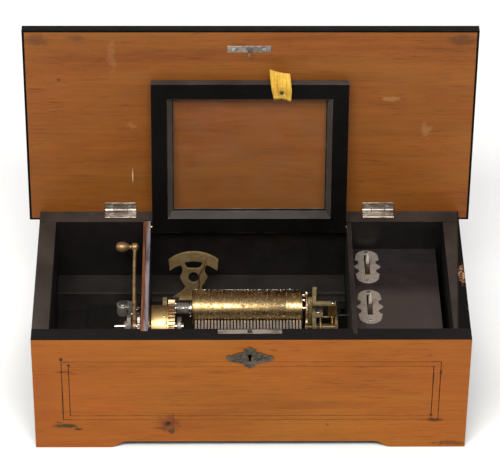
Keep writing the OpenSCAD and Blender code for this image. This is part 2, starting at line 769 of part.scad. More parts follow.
// the two bearings of the cylinder arbor
module cylinder_cocks() color(brass) at_case() for (x = [lcock_x, rcock_x]) difference() {
  union() {
    block(x, [cyl_y - 6, cyl_y + 6], [bed_top, cyl_z + 6]);
    rod_x(6, x, cyl_y, cyl_z + 6);
  }
  rod_x(carb_r + run, [x[0] - 1, x[1] + 1], cyl_y, cyl_z);
}

// ---- comb ----

module comb() color(steel) at_case() difference() {
  union() {
    block(comb_x, [comb_plate_y0, comb_root_y], [comb_base_top, comb_top]);
    for (i = [0:comb_teeth - 1]) block(
      [tooth_x0 + i * tooth_pitch - tooth_w / 2, tooth_x0 + i * tooth_pitch + tooth_w / 2],
      [comb_root_y - 1, comb_tip_y], [comb_top - tooth_t, comb_top]
    );
  }
  for (x = comb_screws) rod_z(1.5, x, comb_screw_y, [comb_base_top - 1, comb_top + 1]);
}

module comb_base() color(brass) at_case() difference() {
  block(comb_x, [comb_plate_y0 - 1, comb_root_y + 2], [bed_top, comb_base_top]);
  for (x = comb_screws) rod_z(1.5, x, comb_screw_y, [comb_base_top - 4, comb_base_top + 1]);
}

// ---- tune indicator ----

// points along an arc about a centre on the plate's middle line
function arc_points(r, up, a0, a1, steps) = [
  for (i = [0:steps]) let (a = a0 + (a1 - a0) * i / steps) [r * cos(a), up + r * sin(a)]
];

module tune_indicator() color(brass) at_case() {
  translate([ind_x, ind_y1, ind_hole_z]) rotate([90, 0, 0]) linear_extrude(ind_y1 - ind_y0) difference() {
    polygon(concat(
      arc_points(ind_r, -2.1, 45, 135, 24),
      [[-22.6, 7.9], [-17, 12.4], [-11.7, 15.2], [-10.8, 5.2], [-13, 0.5], [-10, -6.6], [-7.2, -12.8]],
      [[-20, -25], [15, -25], [7.2, -12.8], [10, -6.6], [13.2, 0.5], [10.8, 5.2], [11.7, 15.2]],
      [[17, 12.4], [22.6, 7.9]]
    ));
    polygon([for (a = [0:15:345]) [5.1 * cos(a), 6.4 * sin(a)]]);
    polygon(concat(arc_points(ind_in_r, -2.1, 66.5, 113.5, 8), [[-5.2, 11.1], [5.4, 11.1]]));
  }
  translate([ptr_x, ind_y0, ptr_z]) rotate([90, 0, 0]) cylinder(r = ptr_stud_r, h = 1.6);
  block([ind_x - 14, ind_x + 12], [batten_y0 + 0.4, ind_y0], [batten_top, batten_top + 1.6]);
}

// wire hand over the arc, pinned low on the plate
module tune_pointer() color(brass) at_case() {
  translate([ptr_x, ind_y0 - 0.4, ptr_z]) rotate([90, 0, 0]) difference() {
    union() {
      cylinder(r = 2, h = 1);
      rotate([0, 0, -12.5]) translate([-0.35, 1, 0]) cube([0.7, 43, 0.7]);
    }
    translate([0, 0, -1]) cylinder(r = ptr_stud_r + run, h = 3);
  }
}

// ---- governor ----

module governor_cock() color(brass) at_case() difference() {
  union() {
    block([cheek_l[0], cheek_r[1]], [gov_y0, gov_y1], [bed_top, bed_top + 1.6]);
    block(cheek_l, [gov_y0, gov_y1], [bed_top, gov_top]);
    block([cheek_l[0], 73], [gov_y0, gov_y0 + 1.7], [bed_top, 63]);
    block([cheek_l[0], cheek_l[1] + 0.5], [gov_y1 - 3, gov_y1], [gov_top, 98]);
    block([cheek_l[0], gov_plate_x], [99, 113], [gov_top, gov_top + gov_plate_t]);
    block(cheek_r, [gov_y0 + 8, gov_y1], [bed_top, 70]);
    block(cheek_l, [screw_y - 2, gov_y1], gov_arm_z);
    block([cheek_l[0], screw_x + 3], [screw_y - 2, screw_y + 2], gov_arm_z);
  }
  rod_x(1 + run, [cheek_l[0] - 1, cheek_r[1] + 1], gov1_y, gov1_z);
  rod_x(1 + run, [cheek_l[0] - 1, cheek_r[1] + 1], gov2_y, gov2_z);
  rod_z(0.6 + run, screw_x, screw_y, [bed_top + 0.8, 90]);
  rod_z(2, (cheek_l[0] + gov_plate_x) / 2, 106, [gov_top - 1, gov_top + gov_plate_t + 1]);
}

module gov_pinion(m, x, y, z, phase) slab_x(x, y, z) pinion_outline(gov_leaves, m, phase);

module governor_first_wheel() color(brass) at_case() {
  rod_x(1, [cwheel_x[0] - 0.4, cheek_r[1]], gov1_y, gov1_z);
  difference() {
    union() {
      gov_pinion(cwheel_m, [cwheel_x[0] - 0.3, cwheel_x[1] + 0.3], gov1_y, gov1_z, gov1_dir + 180 + 18);
      slab_x(gov1_x, gov1_y, gov1_z) wheel_outline(gov1_teeth, gov_m, gov2_dir);
    }
    rod_x(1, [cwheel_x[0] - 1, cheek_r[1]], gov1_y, gov1_z);
  }
}

module governor_second_wheel() color(brass) at_case() {
  rod_x(1, [cheek_l[0], cheek_r[1]], gov2_y, gov2_z);
  difference() {
    union() {
      gov_pinion(gov_m, [gov1_x[0] - 0.4, gov1_x[1] + 0.4], gov2_y, gov2_z, gov2_dir + 180 + 18);
      slab_x(worm_x, gov2_y, gov2_z) wheel_outline(worm_teeth, gov_m, 0);
    }
    rod_x(1, [cheek_l[0], cheek_r[1]], gov2_y, gov2_z);
  }
}

// upright endless screw with the two wings of its fly
module endless_screw() color(brass) at_case() {
  rod_z(0.6, screw_x, screw_y, [screw_z[0] - 1, screw_z[1]]);
  rod_z(worm_r, screw_x, screw_y, [59, fly_z[0]]);
  block([screw_x - fly_r, screw_x + fly_r], [screw_y - 0.25, screw_y + 0.25], fly_z);
}

// ---- control levers ----

module ctl_outline() difference() {
  union() {
    for (k = [-1, 1]) translate([0, k * 12.7]) circle(r = 11.8);
    square([23, 24], center = true);
  }
  for (x = [-1, 1], y = [-1, 1]) translate([x * 12.4, y * 6.4]) circle(r = 4.2);
  translate([-2.7, ctl_slot_shift - 15]) square([5.4, 30]);
  for (k = [-1, 1]) translate([0, k * 21]) circle(r = 0.9);
}

// two plates, each with a pair of lugs and a pin below for its lever
module control_plates() color(nickel) at_case() for (y = [ctl_front, ctl_rear]) {
  translate([ctl_x, y, deck_top]) linear_extrude(ctl_plate_t) ctl_outline();
  for (x = [-1, 1]) difference() {
    block([ctl_x + x * 2.7 - 0.4, ctl_x + x * 2.7 + 0.4], [y - 4, y + 4], [ctl_pivot_z - 4, deck_top]);
    rod_x(1.2, [ctl_x - 5, ctl_x + 5], y, ctl_pivot_z);
  }
  rod_x(1.2, [ctl_x - 3.1, ctl_x + 3.1], y, ctl_pivot_z);
}

module control_blade(y) difference() {
  slab_x([ctl_x - 1.4, ctl_x + 1.4], y, 0) polygon([
    [-4, ctl_pivot_z - 3], [4, ctl_pivot_z - 3], [2.6, ctl_pivot_z + 8], [2.2, deck_top],
    [1.5, ctl_tip_z - 9], [2.4, ctl_tip_z - 6.5], [1.4, ctl_tip_z - 3], [0.3, ctl_tip_z],
    [-0.3, ctl_tip_z], [-1.4, ctl_tip_z - 3], [-2.4, ctl_tip_z - 6.5], [-1.5, ctl_tip_z - 9],
    [-2.2, deck_top], [-2.6, ctl_pivot_z + 8]
  ]);
  rod_x(1.2 + run, [ctl_x - 5, ctl_x + 5], y, ctl_pivot_z);
}

// start and stop lever, with the wire that reaches through the partition to the fly
module stop_lever() color(brass) at_case() {
  control_blade(ctl_front);
  block([ctl_x - 1.4, ctl_x + 1.4], [ctl_front + 2, stop_wire_y + 1], [stop_wire_z - 1.5, stop_wire_z + 1.5]);
  rod_x(0.8, [screw_x - 2, ctl_x - 1.4], stop_wire_y, stop_wire_z);
}

module change_lever() color(brass) at_case() control_blade(ctl_rear);

front_panel();
back_panel();
left_end();
right_end();
bottom_board();
front_stringing();
escutcheon();
lock_case();
lock_bolt();
rear_rail();
rear_batten();
left_partition();
right_partition();
control_deck();
glass_ledge();
hinge_case_leaves();
hinge_pins();
case_screws();
hinge_lid_leaves();
lid_screws();
lid_panel();
lid_edge_bands();
strike_plate();
glazed_frame();
glass_pane();
ribbon_pull();
ribbon_tack();
glazed_pivots();
bedplate();
movement_screws();
left_barrel_bracket();
right_barrel_bracket();
winding_arbor();
ratchet_wheel();
winding_lever();
lever_knob();
drive_click();
holding_click();
barrel_drum();
great_wheel();
mainspring();
cylinder_arbor();
cylinder_pinion();
cylinder_spring();
snail_cam();
cylinder_wheel();
tune_cylinder();
cylinder_pins();
cylinder_cocks();
comb();
comb_base();
tune_indicator();
tune_pointer();
governor_cock();
governor_first_wheel();
governor_second_wheel();
endless_screw();
control_plates();
stop_lever();
change_lever();
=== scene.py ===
"""Wind up music box: its looks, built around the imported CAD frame.

Lengths are millimetres in case coordinates (x from the middle of the case, y back from its front
face, z up from the table) until a mesh is made, when at() turns them into metres of the row frame.
"""

import json
import random
from math import asin, copysign, cos, pi, radians, sin, tau

import bmesh
import bpy
from mathutils import Matrix, Vector


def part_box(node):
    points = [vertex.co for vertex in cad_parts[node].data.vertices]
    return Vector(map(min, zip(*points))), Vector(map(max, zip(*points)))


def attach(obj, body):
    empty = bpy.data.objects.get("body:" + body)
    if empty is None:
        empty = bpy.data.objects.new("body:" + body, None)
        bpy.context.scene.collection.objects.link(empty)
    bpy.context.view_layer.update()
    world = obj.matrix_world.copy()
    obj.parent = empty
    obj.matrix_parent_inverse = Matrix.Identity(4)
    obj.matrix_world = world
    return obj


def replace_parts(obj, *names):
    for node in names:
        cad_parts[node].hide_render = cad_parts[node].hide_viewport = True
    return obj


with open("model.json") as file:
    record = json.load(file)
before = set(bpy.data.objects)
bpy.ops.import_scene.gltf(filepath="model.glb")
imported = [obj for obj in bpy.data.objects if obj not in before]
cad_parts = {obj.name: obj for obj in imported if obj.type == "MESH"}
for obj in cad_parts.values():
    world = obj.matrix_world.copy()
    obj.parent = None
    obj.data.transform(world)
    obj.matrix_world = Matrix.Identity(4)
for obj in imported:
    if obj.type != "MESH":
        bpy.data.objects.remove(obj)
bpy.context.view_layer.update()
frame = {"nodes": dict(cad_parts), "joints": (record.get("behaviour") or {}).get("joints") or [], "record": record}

MM = 0.001
NODES = frame["nodes"]
JOINTS = {j["name"]: j for j in frame["joints"]}
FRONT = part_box("front_panel")[0].y / MM
TO_ROW = Matrix.Scale(MM, 4) @ Matrix.Translation((0, FRONT, 0))


def at(x, y, z):
    """A point in case millimetres, as metres in the row frame."""
    return TO_ROW @ Vector((x, y, z))


def case_box(node):
    """The lowest and highest corners of a CAD node, in case millimetres."""
    return [TO_ROW.inverted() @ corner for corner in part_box(node)]


def opened(joint):
    """Turns a closed lid's case coordinates to its open pose, which is its joint's rest."""
    low = radians(JOINTS[joint]["range_deg"][0])
    pivot = TO_ROW.inverted() @ Vector(JOINTS[joint]["pos_m"])
    turn = Matrix.Rotation(-low, 4, Vector(JOINTS[joint]["axis"]))
    return Matrix.Translation(pivot) @ turn @ Matrix.Translation(-pivot)


LID = opened("lid_hinge")
GLAZED = opened("glazed_lid_hinge")
BODY_OF = {node: body for body, nodes in frame["record"]["behaviour"]["bodies"].items() for node in nodes}
SLOT_OF = {part["node"]: part["material_slot"] for part in frame["record"]["subparts"]}

# y and z of the winding arbor, which the barrel turns on, and of the cylinder's axle
ARBOR = (81.3, 78.8)
AXLE = (110.0, 77.0)
LOCK_X = -1.4
CONTROL_X = 112
CONTROL_Y = {"stop_lever": 85.8, "change_lever": 145.3}
COMB_TOP = 77.7
TOOTH_X = [-51 + 3.07 * i for i in range(33)]
FACING = Matrix.Rotation(pi / 2, 4, "X")  # stands a drawing up, to face the front
ACROSS = Matrix(((0, 0, 1, 0), (1, 0, 0, 0), (0, 1, 0, 0), (0, 0, 0, 1)))  # lays a drawing in y and z
ON_LEVER = Matrix.Translation((0, *ARBOR)) @ Matrix.Rotation(radians(27), 4, "X")


# ---- camera, light and floor ----


def set_camera():
    """A long lens, well in front of the box and above it, looking down on it."""
    pitch, yaw, roll = 0.668843, 0.016848, -0.009620
    forward = Vector((sin(yaw) * cos(pitch), cos(yaw) * cos(pitch), -sin(pitch)))
    level = Vector((cos(yaw), -sin(yaw), 0))
    up = level.cross(forward)
    right = level * cos(roll) - up * sin(roll)
    upright = level * sin(roll) + up * cos(roll)
    data = bpy.data.cameras.new("camera")
    data.sensor_width = 36
    data.lens = 204.23
    data.clip_end = 50
    camera = bpy.data.objects.new("camera", data)
    bpy.context.scene.collection.objects.link(camera)
    turn = Matrix((right, upright, -forward)).transposed().to_4x4()
    camera.matrix_world = Matrix.Translation(at(-35.3, -1955.3, 1796.8)) @ turn
    bpy.context.scene.camera = camera


def softbox(name, place, aim, size, power, colour=(1, 1, 1)):
    """A rectangular lamp, its place and size in metres of the row frame."""
    data = bpy.data.lights.new(name, "AREA")
    data.shape = "RECTANGLE"
    data.size, data.size_y = size
    data.energy = power
    data.color = colour
    light = bpy.data.objects.new(name, data)
    light.location = place
    light.rotation_euler = (Vector(aim) - Vector(place)).to_track_quat("-Z", "Y").to_euler()
    bpy.context.scene.collection.objects.link(light)


def set_light():
    """A warm key high in front, a weak lamp at each side, one behind, and a pale world."""
    softbox("key", (-0.15, -1.25, 1.95), (0, 0, 0.1), (1.5, 0.6), 52, (1.0, 0.97, 0.93))
    softbox("left", (-1.9, -0.5, 1.1), (0, 0, 0.1), (1.0, 1.2), 9, (1.0, 0.98, 0.95))
    softbox("right", (1.9, -0.5, 1.1), (0, 0, 0.1), (1.0, 1.2), 9, (1.0, 0.98, 0.95))
    softbox("behind", (0, 1.9, 1.9), (0, 1.1, 0), (2.4, 1.0), 26)
    world = bpy.data.worlds.new("studio")
    world.use_nodes = True
    world.node_tree.nodes["Background"].inputs["Color"].default_value = (0.95, 0.97, 1.0, 1)
    world.node_tree.nodes["Background"].inputs["Strength"].default_value = 0.30
    bpy.context.scene.world = world
    bpy.context.scene.view_settings.view_transform = "Standard"


def lay_floor():
    mesh = bpy.data.meshes.new("floor")
    reach = 6.0
    corners = [(-reach, -reach, 0), (reach, -reach, 0), (reach, reach, 0), (-reach, reach, 0)]
    mesh.from_pydata(corners, [], [(0, 1, 2, 3)])
    floor = bpy.data.objects.new("floor", mesh)
    bpy.context.scene.collection.objects.link(floor)
    m = Look("floor", Roughness=0.8)
    m.colour(m.ramp(m.noise(3, detail=2), (0.3, (0.90, 0.90, 0.895)), (0.7, (0.93, 0.93, 0.925))))
    mesh.materials.append(m.material)


# ---- materials ----


class Look:
    """A material's node tree, with short ways to add nodes. Constants go on the shader's sockets."""

    def __init__(self, name, **constants):
        self.material = bpy.data.materials.new(name)
        self.material.use_nodes = True
        self.tree = self.material.node_tree
        self.shader = self.tree.nodes["Principled BSDF"]
        for label, value in constants.items():
            self.shader.inputs[label.replace("_", " ")].default_value = value
        self.place = self.node("TexCoord").outputs["Object"]

    def node(self, kind, inputs=None, **settings):
        made = self.tree.nodes.new("ShaderNode" + kind)
        for label, value in settings.items():
            setattr(made, label, value)
        for label, value in (inputs or {}).items():
            if isinstance(value, bpy.types.NodeSocket):
                self.tree.links.new(value, made.inputs[label])
            else:
                made.inputs[label].default_value = value
        return made

    def math(self, operation, a, b=0.0):
        return self.node("Math", {0: a, 1: b}, operation=operation).outputs[0]

    def add(self, a, b):
        return self.math("ADD", a, b)

    def times(self, a, b):
        return self.math("MULTIPLY", a, b)

    def minus(self, a, b):
        return self.math("SUBTRACT", a, b)

    def total(self, *parts):
        """The sum of values, each times its share."""
        whole = 0.0
        for value, share in parts:
            whole = self.add(whole, self.times(value, share))
        return whole

    def axis(self, number):
        """A surface point's place along x, y or z, in metres."""
        return self.node("SeparateXYZ", {"Vector": self.place}).outputs[number]

    def noise(self, scale, detail=4, rough=0.5, stretch=(1, 1, 1), warp=0.0, shift=0.0):
        """Noise with about scale blobs to a metre, squeezed along each axis by stretch."""
        where = self.node("Mapping", {"Vector": self.place, "Location": (shift,) * 3, "Scale": stretch})
        sockets = {"Vector": where.outputs[0], "Scale": scale, "Detail": detail}
        return self.node("TexNoise", {**sockets, "Roughness": rough, "Distortion": warp}).outputs[0]

    def level(self, value, low, high, to_low=0.0, to_high=1.0):
        sockets = {"Value": value, "From Min": low, "From Max": high, "To Min": to_low, "To Max": to_high}
        return self.node("MapRange", sockets).outputs[0]

    def ramp(self, value, *stops):
        node = self.node("ValToRGB", {"Fac": value})
        points = node.color_ramp.elements
        while len(points) < len(stops):
            points.new(0.5)
        for point, (position, colour) in zip(points, stops):
            point.position = position
            point.color = (*colour, 1)
        return node.outputs["Color"]

    def mix(self, share, a, b):
        a, b = ((*v, 1) if isinstance(v, tuple) else v for v in (a, b))
        return self.node("Mix", {0: share, 6: a, 7: b}, data_type="RGBA").outputs[2]

    def over(self, colour, *layers):
        """Lays (where, strength, tint) layers over a colour."""
        for where, strength, tint in layers:
            colour = self.mix(self.times(where, strength), colour, tint)
        return colour

    def spot(self, centre, size, soft=0.4, ragged=0.0, grain=150):
        """1 inside an ellipsoid about a point of the case, fading out at its rim."""
        centre, size = at(*centre), Vector(size) * MM
        scale = Vector((1 / s for s in size))
        place = self.node("Mapping", {"Vector": self.place, "Location": -centre * scale, "Scale": scale})
        far = self.node("VectorMath", {0: place.outputs[0]}, operation="LENGTH").outputs["Value"]
        if ragged:
            far = self.add(far, self.times(self.minus(self.noise(grain, 5, 0.6), 0.5), ragged))
        return self.level(far, 1, 1 - soft)

    def edges(self, radius):
        """1 along the edges of a solid, within a radius in millimetres."""
        rounded = self.node("Bevel", {"Radius": radius * MM}, samples=4).outputs[0]
        flat = self.node("NewGeometry").outputs["Normal"]
        same = self.node("VectorMath", {0: rounded, 1: flat}, operation="DOT_PRODUCT").outputs["Value"]
        return self.level(self.minus(1.0, same), 0.02, 0.3)

    def colour(self, value):
        self.tree.links.new(value, self.shader.inputs["Base Color"])

    def roughness(self, value):
        self.tree.links.new(value, self.shader.inputs["Roughness"])

    def bump(self, height, depth):
        """Relief of the given depth in millimetres."""
        node = self.node("Bump", {"Height": height, "Distance": depth * MM, "Strength": 1.0})
        self.tree.links.new(node.outputs[0], self.shader.inputs["Normal"])


def shaded(colour, share):
    return tuple(channel * share for channel in colour)


def varnish(m):
    """Roughness of old satin varnish."""
    return m.level(m.noise(60, 5, 0.6, (0.5, 1, 1)), 0.3, 0.7, 0.5, 0.66)


def lacquer(m):
    """Roughness of black lacquer that has been handled."""
    return m.level(m.noise(90, 5, 0.65), 0.3, 0.7, 0.34, 0.56)


def wood_base(name, deep, mid, pale, shift=0.0, **constants):
    """Close-grained fruitwood under an old varnish, with its grain along x."""
    m = Look(name, **{"Specular_IOR_Level": 0.22, "Coat_Weight": 0.04, "Coat_Roughness": 0.4, **constants})
    figure = m.noise(12, 5, 0.6, (0.35, 1, 3.6), 1.2, shift)
    rings = m.noise(30, 5, 0.6, (0.11, 1, 3.4), 1.4, shift + 1)
    streak = m.noise(380, 6, 0.7, (0.055, 1, 1.5), 0.6, shift)
    fibre = m.noise(1500, 3, 0.6, (0.03, 1, 1), 0, shift)
    cloud = m.noise(6, 3, 0.5, (1, 1, 1.4), 0, shift + 4)
    tone = m.total((figure, 0.22), (rings, 0.24), (streak, 0.28), (cloud, 0.26), (m.minus(fibre, 0.5), 0.10))
    pores = m.level(m.noise(950, 3, 0.6, (0.05, 1, 1), 0.3, shift + 2), 0.57, 0.70)
    gold = m.level(m.noise(9, 4, 0.55, (0.5, 1, 1.6), 0.5, shift + 7), 0.42, 0.66)
    specks = m.level(m.noise(620, 3, 0.5, (0.8, 1, 1), 0, shift), 0.735, 0.76)
    nicks = m.level(m.noise(480, 3, 0.5, (1, 1, 0.7), 0, shift + 3), 0.755, 0.775)
    colour = m.over(
        m.ramp(tone, (0.36, deep), (0.53, mid), (0.70, pale)),
        (pores, 0.7, shaded(deep, 0.5)),
        (gold, 0.35, (pale[0] * 0.9, pale[1] * 1.08, pale[2] * 1.2)),
        (specks, 0.55, shaded(deep, 0.35)),
        (nicks, 0.5, (0.52, 0.30, 0.13)),
    )
    m.roughness(varnish(m))
    height = m.minus(m.times(fibre, 0.5), m.times(pores, 0.8))
    return m, colour, height


def stains(m, colour, marks):
    """Lays ragged marks over a colour: (centre, size, ragged, strength, tint)."""
    for centre, size, ragged, strength, tint in marks:
        colour = m.over(colour, (m.spot(centre, size, 0.55, ragged, 170), strength, tint))
    return colour


def ebony_base(name, base=(0.0050, 0.0040, 0.0036), scuff=0.3, **constants):
    """Ebonised wood: black lacquer, clouded, scuffed and specked with dust."""
    m = Look(name, **{"Specular_IOR_Level": 0.3, **constants})
    fibre = m.noise(700, 3, 0.6, (0.06, 1, 1))
    scuffs = m.level(m.noise(260, 6, 0.7, (0.25, 1, 1), 0.5), 0.62, 0.78)
    dust = m.level(m.noise(1300, 2, 0.5), 0.76, 0.79)
    colour = m.mix(m.level(m.noise(22, 5, 0.6), 0.35, 0.7), base, shaded(base, 2.0))
    colour = m.over(colour, (scuffs, scuff, (0.050, 0.041, 0.034)), (dust, 0.5, (0.30, 0.27, 0.24)))
    m.roughness(lacquer(m))
    return m, colour, fibre


def ebony(name, wear=0.5, rubbed=(0.16, 0.105, 0.07), reach=0.7, black_corner=False, **constants):
    """Ebonised wood, rubbed at its edges, with a chip and nicks on the right end's outer rim."""
    m, colour, fibre = ebony_base(name, **constants)
    rub = m.times(m.edges(reach), m.level(m.noise(130, 6, 0.7, (0.4, 1, 1)), 0.62 - 0.25 * wear, 0.75))
    colour = m.over(colour, (rub, 0.85, rubbed))
    if black_corner:
        slant = 0.065
        inner = at(187, 0, 0)
        border = inner.x - inner.y * slant
        outward = m.minus(m.axis(0), m.times(m.axis(1), slant))
        corner = m.level(outward, border - MM, border + MM)
        colour = m.mix(corner, colour, (0.0045, 0.0038, 0.0034))
        m.roughness(m.add(lacquer(m), m.times(corner, 0.4)))
    nicked = m.times(m.spot((200, 80, 131), (1.6, 90, 2.5), 0.6), m.level(m.noise(330, 3, 0.6), 0.64, 0.68))
    chip = m.spot((197.5, 94, 131), (4.2, 17, 4), 0.9, 1.0, 260)
    chip = m.times(chip, m.level(m.noise(420, 4, 0.6), 0.46, 0.54))
    colour = m.mix(nicked, colour, (0.55, 0.48, 0.42))
    m.colour(m.mix(chip, colour, (0.56, 0.29, 0.16)))
    m.bump(m.minus(m.times(fibre, 0.4), m.times(rub, 0.8)), 0.05)
    return m.material


def front_wood():
    """The front panel: worn fruitwood on its face, and black lacquer on its other sides."""
    tones = (0.185, 0.048, 0.0050), (0.293, 0.088, 0.0080), (0.358, 0.124, 0.013)
    m, colour, height = wood_base("front_wood", *tones, Specular_IOR_Level=0.14)
    red = m.level(m.noise(5, 3, 0.5, (0.7, 1, 1.2), 0, 9), 0.45, 0.62)
    colour = m.over(colour, (red, 0.35, (0.35, 0.085, 0.012)))
    black, brown = (0.022, 0.011, 0.006), (0.115, 0.036, 0.009)
    colour = stains(m, colour, [
        ((-70, 0, 28), (26, 6, 12), 0.8, 0.5, (0.22, 0.058, 0.010)),
        ((-76, 0, 29), (11, 5, 12), 2.3, 0.85, (0.15, 0.042, 0.009)),
        ((-76, 0, 29.5), (5, 5, 4), 1.8, 0.9, (0.075, 0.026, 0.008)),
        ((-76, 0, 30), (2.8, 5, 2.4), 1.6, 1.0, black),
        ((-71.5, 0, 36), (0.9, 5, 8), 2.4, 0.9, brown),
        ((-84, 0, 24), (8, 5, 1.1), 2.4, 0.9, brown),
        ((-73, 0, 20), (3.6, 5, 3.8), 2.0, 0.85, (0.055, 0.034, 0.018)),
        ((-172, 0, 27), (13, 5, 3.4), 1.6, 0.95, (0.035, 0.030, 0.010)),
        ((-160, 0, 23), (5, 5, 1.6), 1.8, 0.9, black),
        ((-178, 0, 31), (5, 5, 1.2), 1.8, 0.8, brown),
        ((-173.4, 0, 108), (2.6, 5, 3), 1.2, 0.95, black),
        ((-166.8, 0, 101), (2, 5, 2.4), 1.2, 0.95, black),
        ((-171.5, 0, 93), (11, 5, 0.8), 0.9, 0.9, black),
        ((-164, 0, 90.8), (7, 5, 0.7), 0.9, 0.7, brown),
        ((170, 0, 34), (13, 5, 2.6), 2.2, 0.8, black),
        ((166.8, 0, 40), (1.8, 5, 2.4), 1.0, 0.9, black),
        ((173.4, 0, 92), (1.5, 5, 5), 1.6, 0.8, black),
        ((167, 0, 84), (1.2, 5, 14), 1.2, 0.7, brown),
        ((-173.3, 0, 60), (1.3, 5, 30), 1.3, 0.6, brown),
        ((163, 0, 113), (1.6, 5, 1.6), 1.2, 0.7, brown),
        ((71, 0, 28), (1.9, 5, 1.6), 1.0, 0.8, brown),
        ((20, 0, 119), (5, 5, 0.7), 1.2, 0.7, black),
        ((129, 0, 113), (4, 5, 0.5), 1.0, 0.6, brown),
        ((185, 0, 5), (20, 5, 3.5), 2.4, 0.75, (0.09, 0.035, 0.012)),
        ((-192, 0, 70), (16, 8, 60), 0.5, 0.30, (0.26, 0.055, 0.008)),
    ])
    rub = m.times(m.edges(0.8), m.level(m.noise(120, 5, 0.7), 0.4, 0.7))
    colour = m.over(colour, (rub, 0.5, (0.42, 0.17, 0.045)))
    cloud = m.level(m.noise(260, 6, 0.7, (0.25, 1, 1)), 0.6, 0.8)
    lacquered = m.mix(cloud, (0.0065, 0.0052, 0.0050), (0.020, 0.016, 0.014))
    behind = m.level(m.axis(1), at(0, 0.15, 0).y, at(0, 0.45, 0).y)
    m.colour(m.mix(behind, colour, lacquered))
    m.roughness(m.add(varnish(m), m.times(behind, 0.34)))
    m.bump(height, 0.04)
    return m.material


def lid_wood():
    """The lid's panel: darker fruitwood with smudges, scratches and one gouge on its inside."""
    tones = (0.135, 0.036, 0.0042), (0.225, 0.066, 0.0080), (0.285, 0.095, 0.0135)
    m, colour, height = wood_base("lid_wood", *tones, shift=1.7)
    dark, scratched = (0.07, 0.026, 0.009), (0.5, 0.3, 0.14)
    marks = [
        ((-196, 3), (16, 6, 8), 1.4, 0.55, dark),
        ((-160, 0), (10, 6, 4), 1.4, 0.5, dark),
        ((195, 2), (18, 6, 7), 1.5, 0.6, dark),
        ((-178, 45), (2.4, 5, 2.4), 1.2, 0.85, dark),
        ((132, 66), (13, 5, 2.6), 3.6, 0.22, scratched),
        ((165, 100), (6, 5, 9), 4.0, 0.18, scratched),
        ((-128, 22), (4, 5, 20), 4.0, 0.10, scratched),
        ((-110, 96), (7, 5, 4), 4.0, 0.16, scratched),
        ((20, 124), (60, 5, 6), 2.4, 0.3, (0.12, 0.035, 0.008)),
        ((-111, 152), (0.8, 5, 9), 0.9, 0.75, (0.70, 0.55, 0.40)),
    ]
    underside = 131.3
    m.colour(stains(m, colour, [(LID @ Vector((x, y, underside)), *rest) for (x, y), *rest in marks]))
    m.bump(height, 0.03)
    return m.material


BROWN_FILM = (0.05, 0.03, 0.012)
GREY_FILM = (0.05, 0.042, 0.036)


def worn_wood():
    """The partition's bare top, rubbed to brown on one side and greyed on the other."""
    m = Look("worn_partition_top", Roughness=0.55)
    grain = m.noise(300, 5, 0.65, (1, 0.06, 1), 0.4)
    fibre = m.noise(900, 3, 0.6, (1, 0.05, 1))
    browns = (0.35, (0.035, 0.012, 0.006)), (0.55, (0.21, 0.075, 0.028)), (0.72, (0.33, 0.15, 0.07))
    greys = (0.35, (0.11, 0.095, 0.11)), (0.6, (0.24, 0.21, 0.24)), (0.75, (0.40, 0.36, 0.38))
    wander = m.times(m.minus(m.noise(60, 4, 0.6), 0.5), 0.003)
    across = m.level(m.add(m.axis(0), wander), -0.0978, -0.0970)
    dark = m.level(m.noise(90, 5, 0.7, (1, 0.3, 1), 0, 3), 0.56, 0.68)
    wood = m.mix(across, m.ramp(grain, *browns), m.ramp(grain, *greys))
    m.colour(m.over(wood, (dark, 0.75, (0.02, 0.013, 0.012))))
    m.bump(fibre, 0.06)
    return m.material


def metal(
    name, bright, dull, rough, grain=(1, 1, 1), patina=0.5, scale=120, tarnish=0.0, tint=BROWN_FILM,
    metallic=1.0,
):
    """Aged metal: bright where it is handled, dull and mottled elsewhere, with films of tarnish."""
    m = Look(name, Metallic=metallic)
    mottle = m.noise(scale, 6, 0.65, grain, 0.4)
    fine = m.noise(scale * 9, 3, 0.6, grain)
    colour = m.mix(m.level(mottle, 0.62 - 0.3 * patina, 0.85 - 0.3 * patina), bright, dull)
    rough_level = m.level(m.total((mottle, 0.6), (fine, 0.4)), 0.3, 0.7, *rough)
    if tarnish:
        film = m.noise(scale * 1.7, 6, 0.72, grain, 0.6, 5)
        blotch = m.level(film, 0.60 - 0.14 * tarnish, 0.74 - 0.1 * tarnish)
        colour = m.over(colour, (blotch, 0.8, tint))
        rough_level = m.add(rough_level, m.times(blotch, 0.22))
    m.colour(m.over(colour, (m.edges(0.35), 0.6, tuple(min(1, c) for c in shaded(bright, 1.25)))))
    m.roughness(rough_level)
    m.bump(m.total((fine, 0.6), (mottle, 0.8)), 0.014)
    return m.material


def glass():
    """Old clear pane: almost nothing but a faint sheen, hazed with dust."""
    m = Look("old_glass", Roughness=0.04, IOR=1.3)
    haze = m.level(m.noise(40, 6, 0.7), 0.4, 0.8, 0.01, 0.05)
    m.tree.links.new(haze, m.shader.inputs["Alpha"])
    m.colour(m.ramp(m.noise(300, 4), (0.3, (0.20, 0.17, 0.14)), (0.7, (0.32, 0.28, 0.24))))
    return m.material


def silk():
    """Yellow ribbon with a fine rib across it, and lengthwise dark streaks that are partly weave and partly
    painted shade of its folds.
    """
    m = Look("yellow_silk", Roughness=0.5, Sheen_Weight=0.25, Sheen_Roughness=0.4)
    rib = m.noise(2400, 2, 0.5, (0.08, 1, 1))
    # painted fold shade: dark streaks along the ribbon's length, mixed in with the weave
    weave_and_fold_shade = m.noise(1100, 3, 0.6, (1, 0.05, 0.05))
    tone = m.total((m.noise(120, 3), 0.2), (weave_and_fold_shade, 0.55), (rib, 0.25))
    yellows = (0.36, (0.33, 0.155, 0.007)), (0.5, (0.62, 0.345, 0.022)), (0.66, (0.82, 0.54, 0.07))
    m.colour(m.ramp(tone, *yellows))
    m.bump(m.add(rib, m.times(weave_and_fold_shade, 1.5)), 0.16)
    return m.material


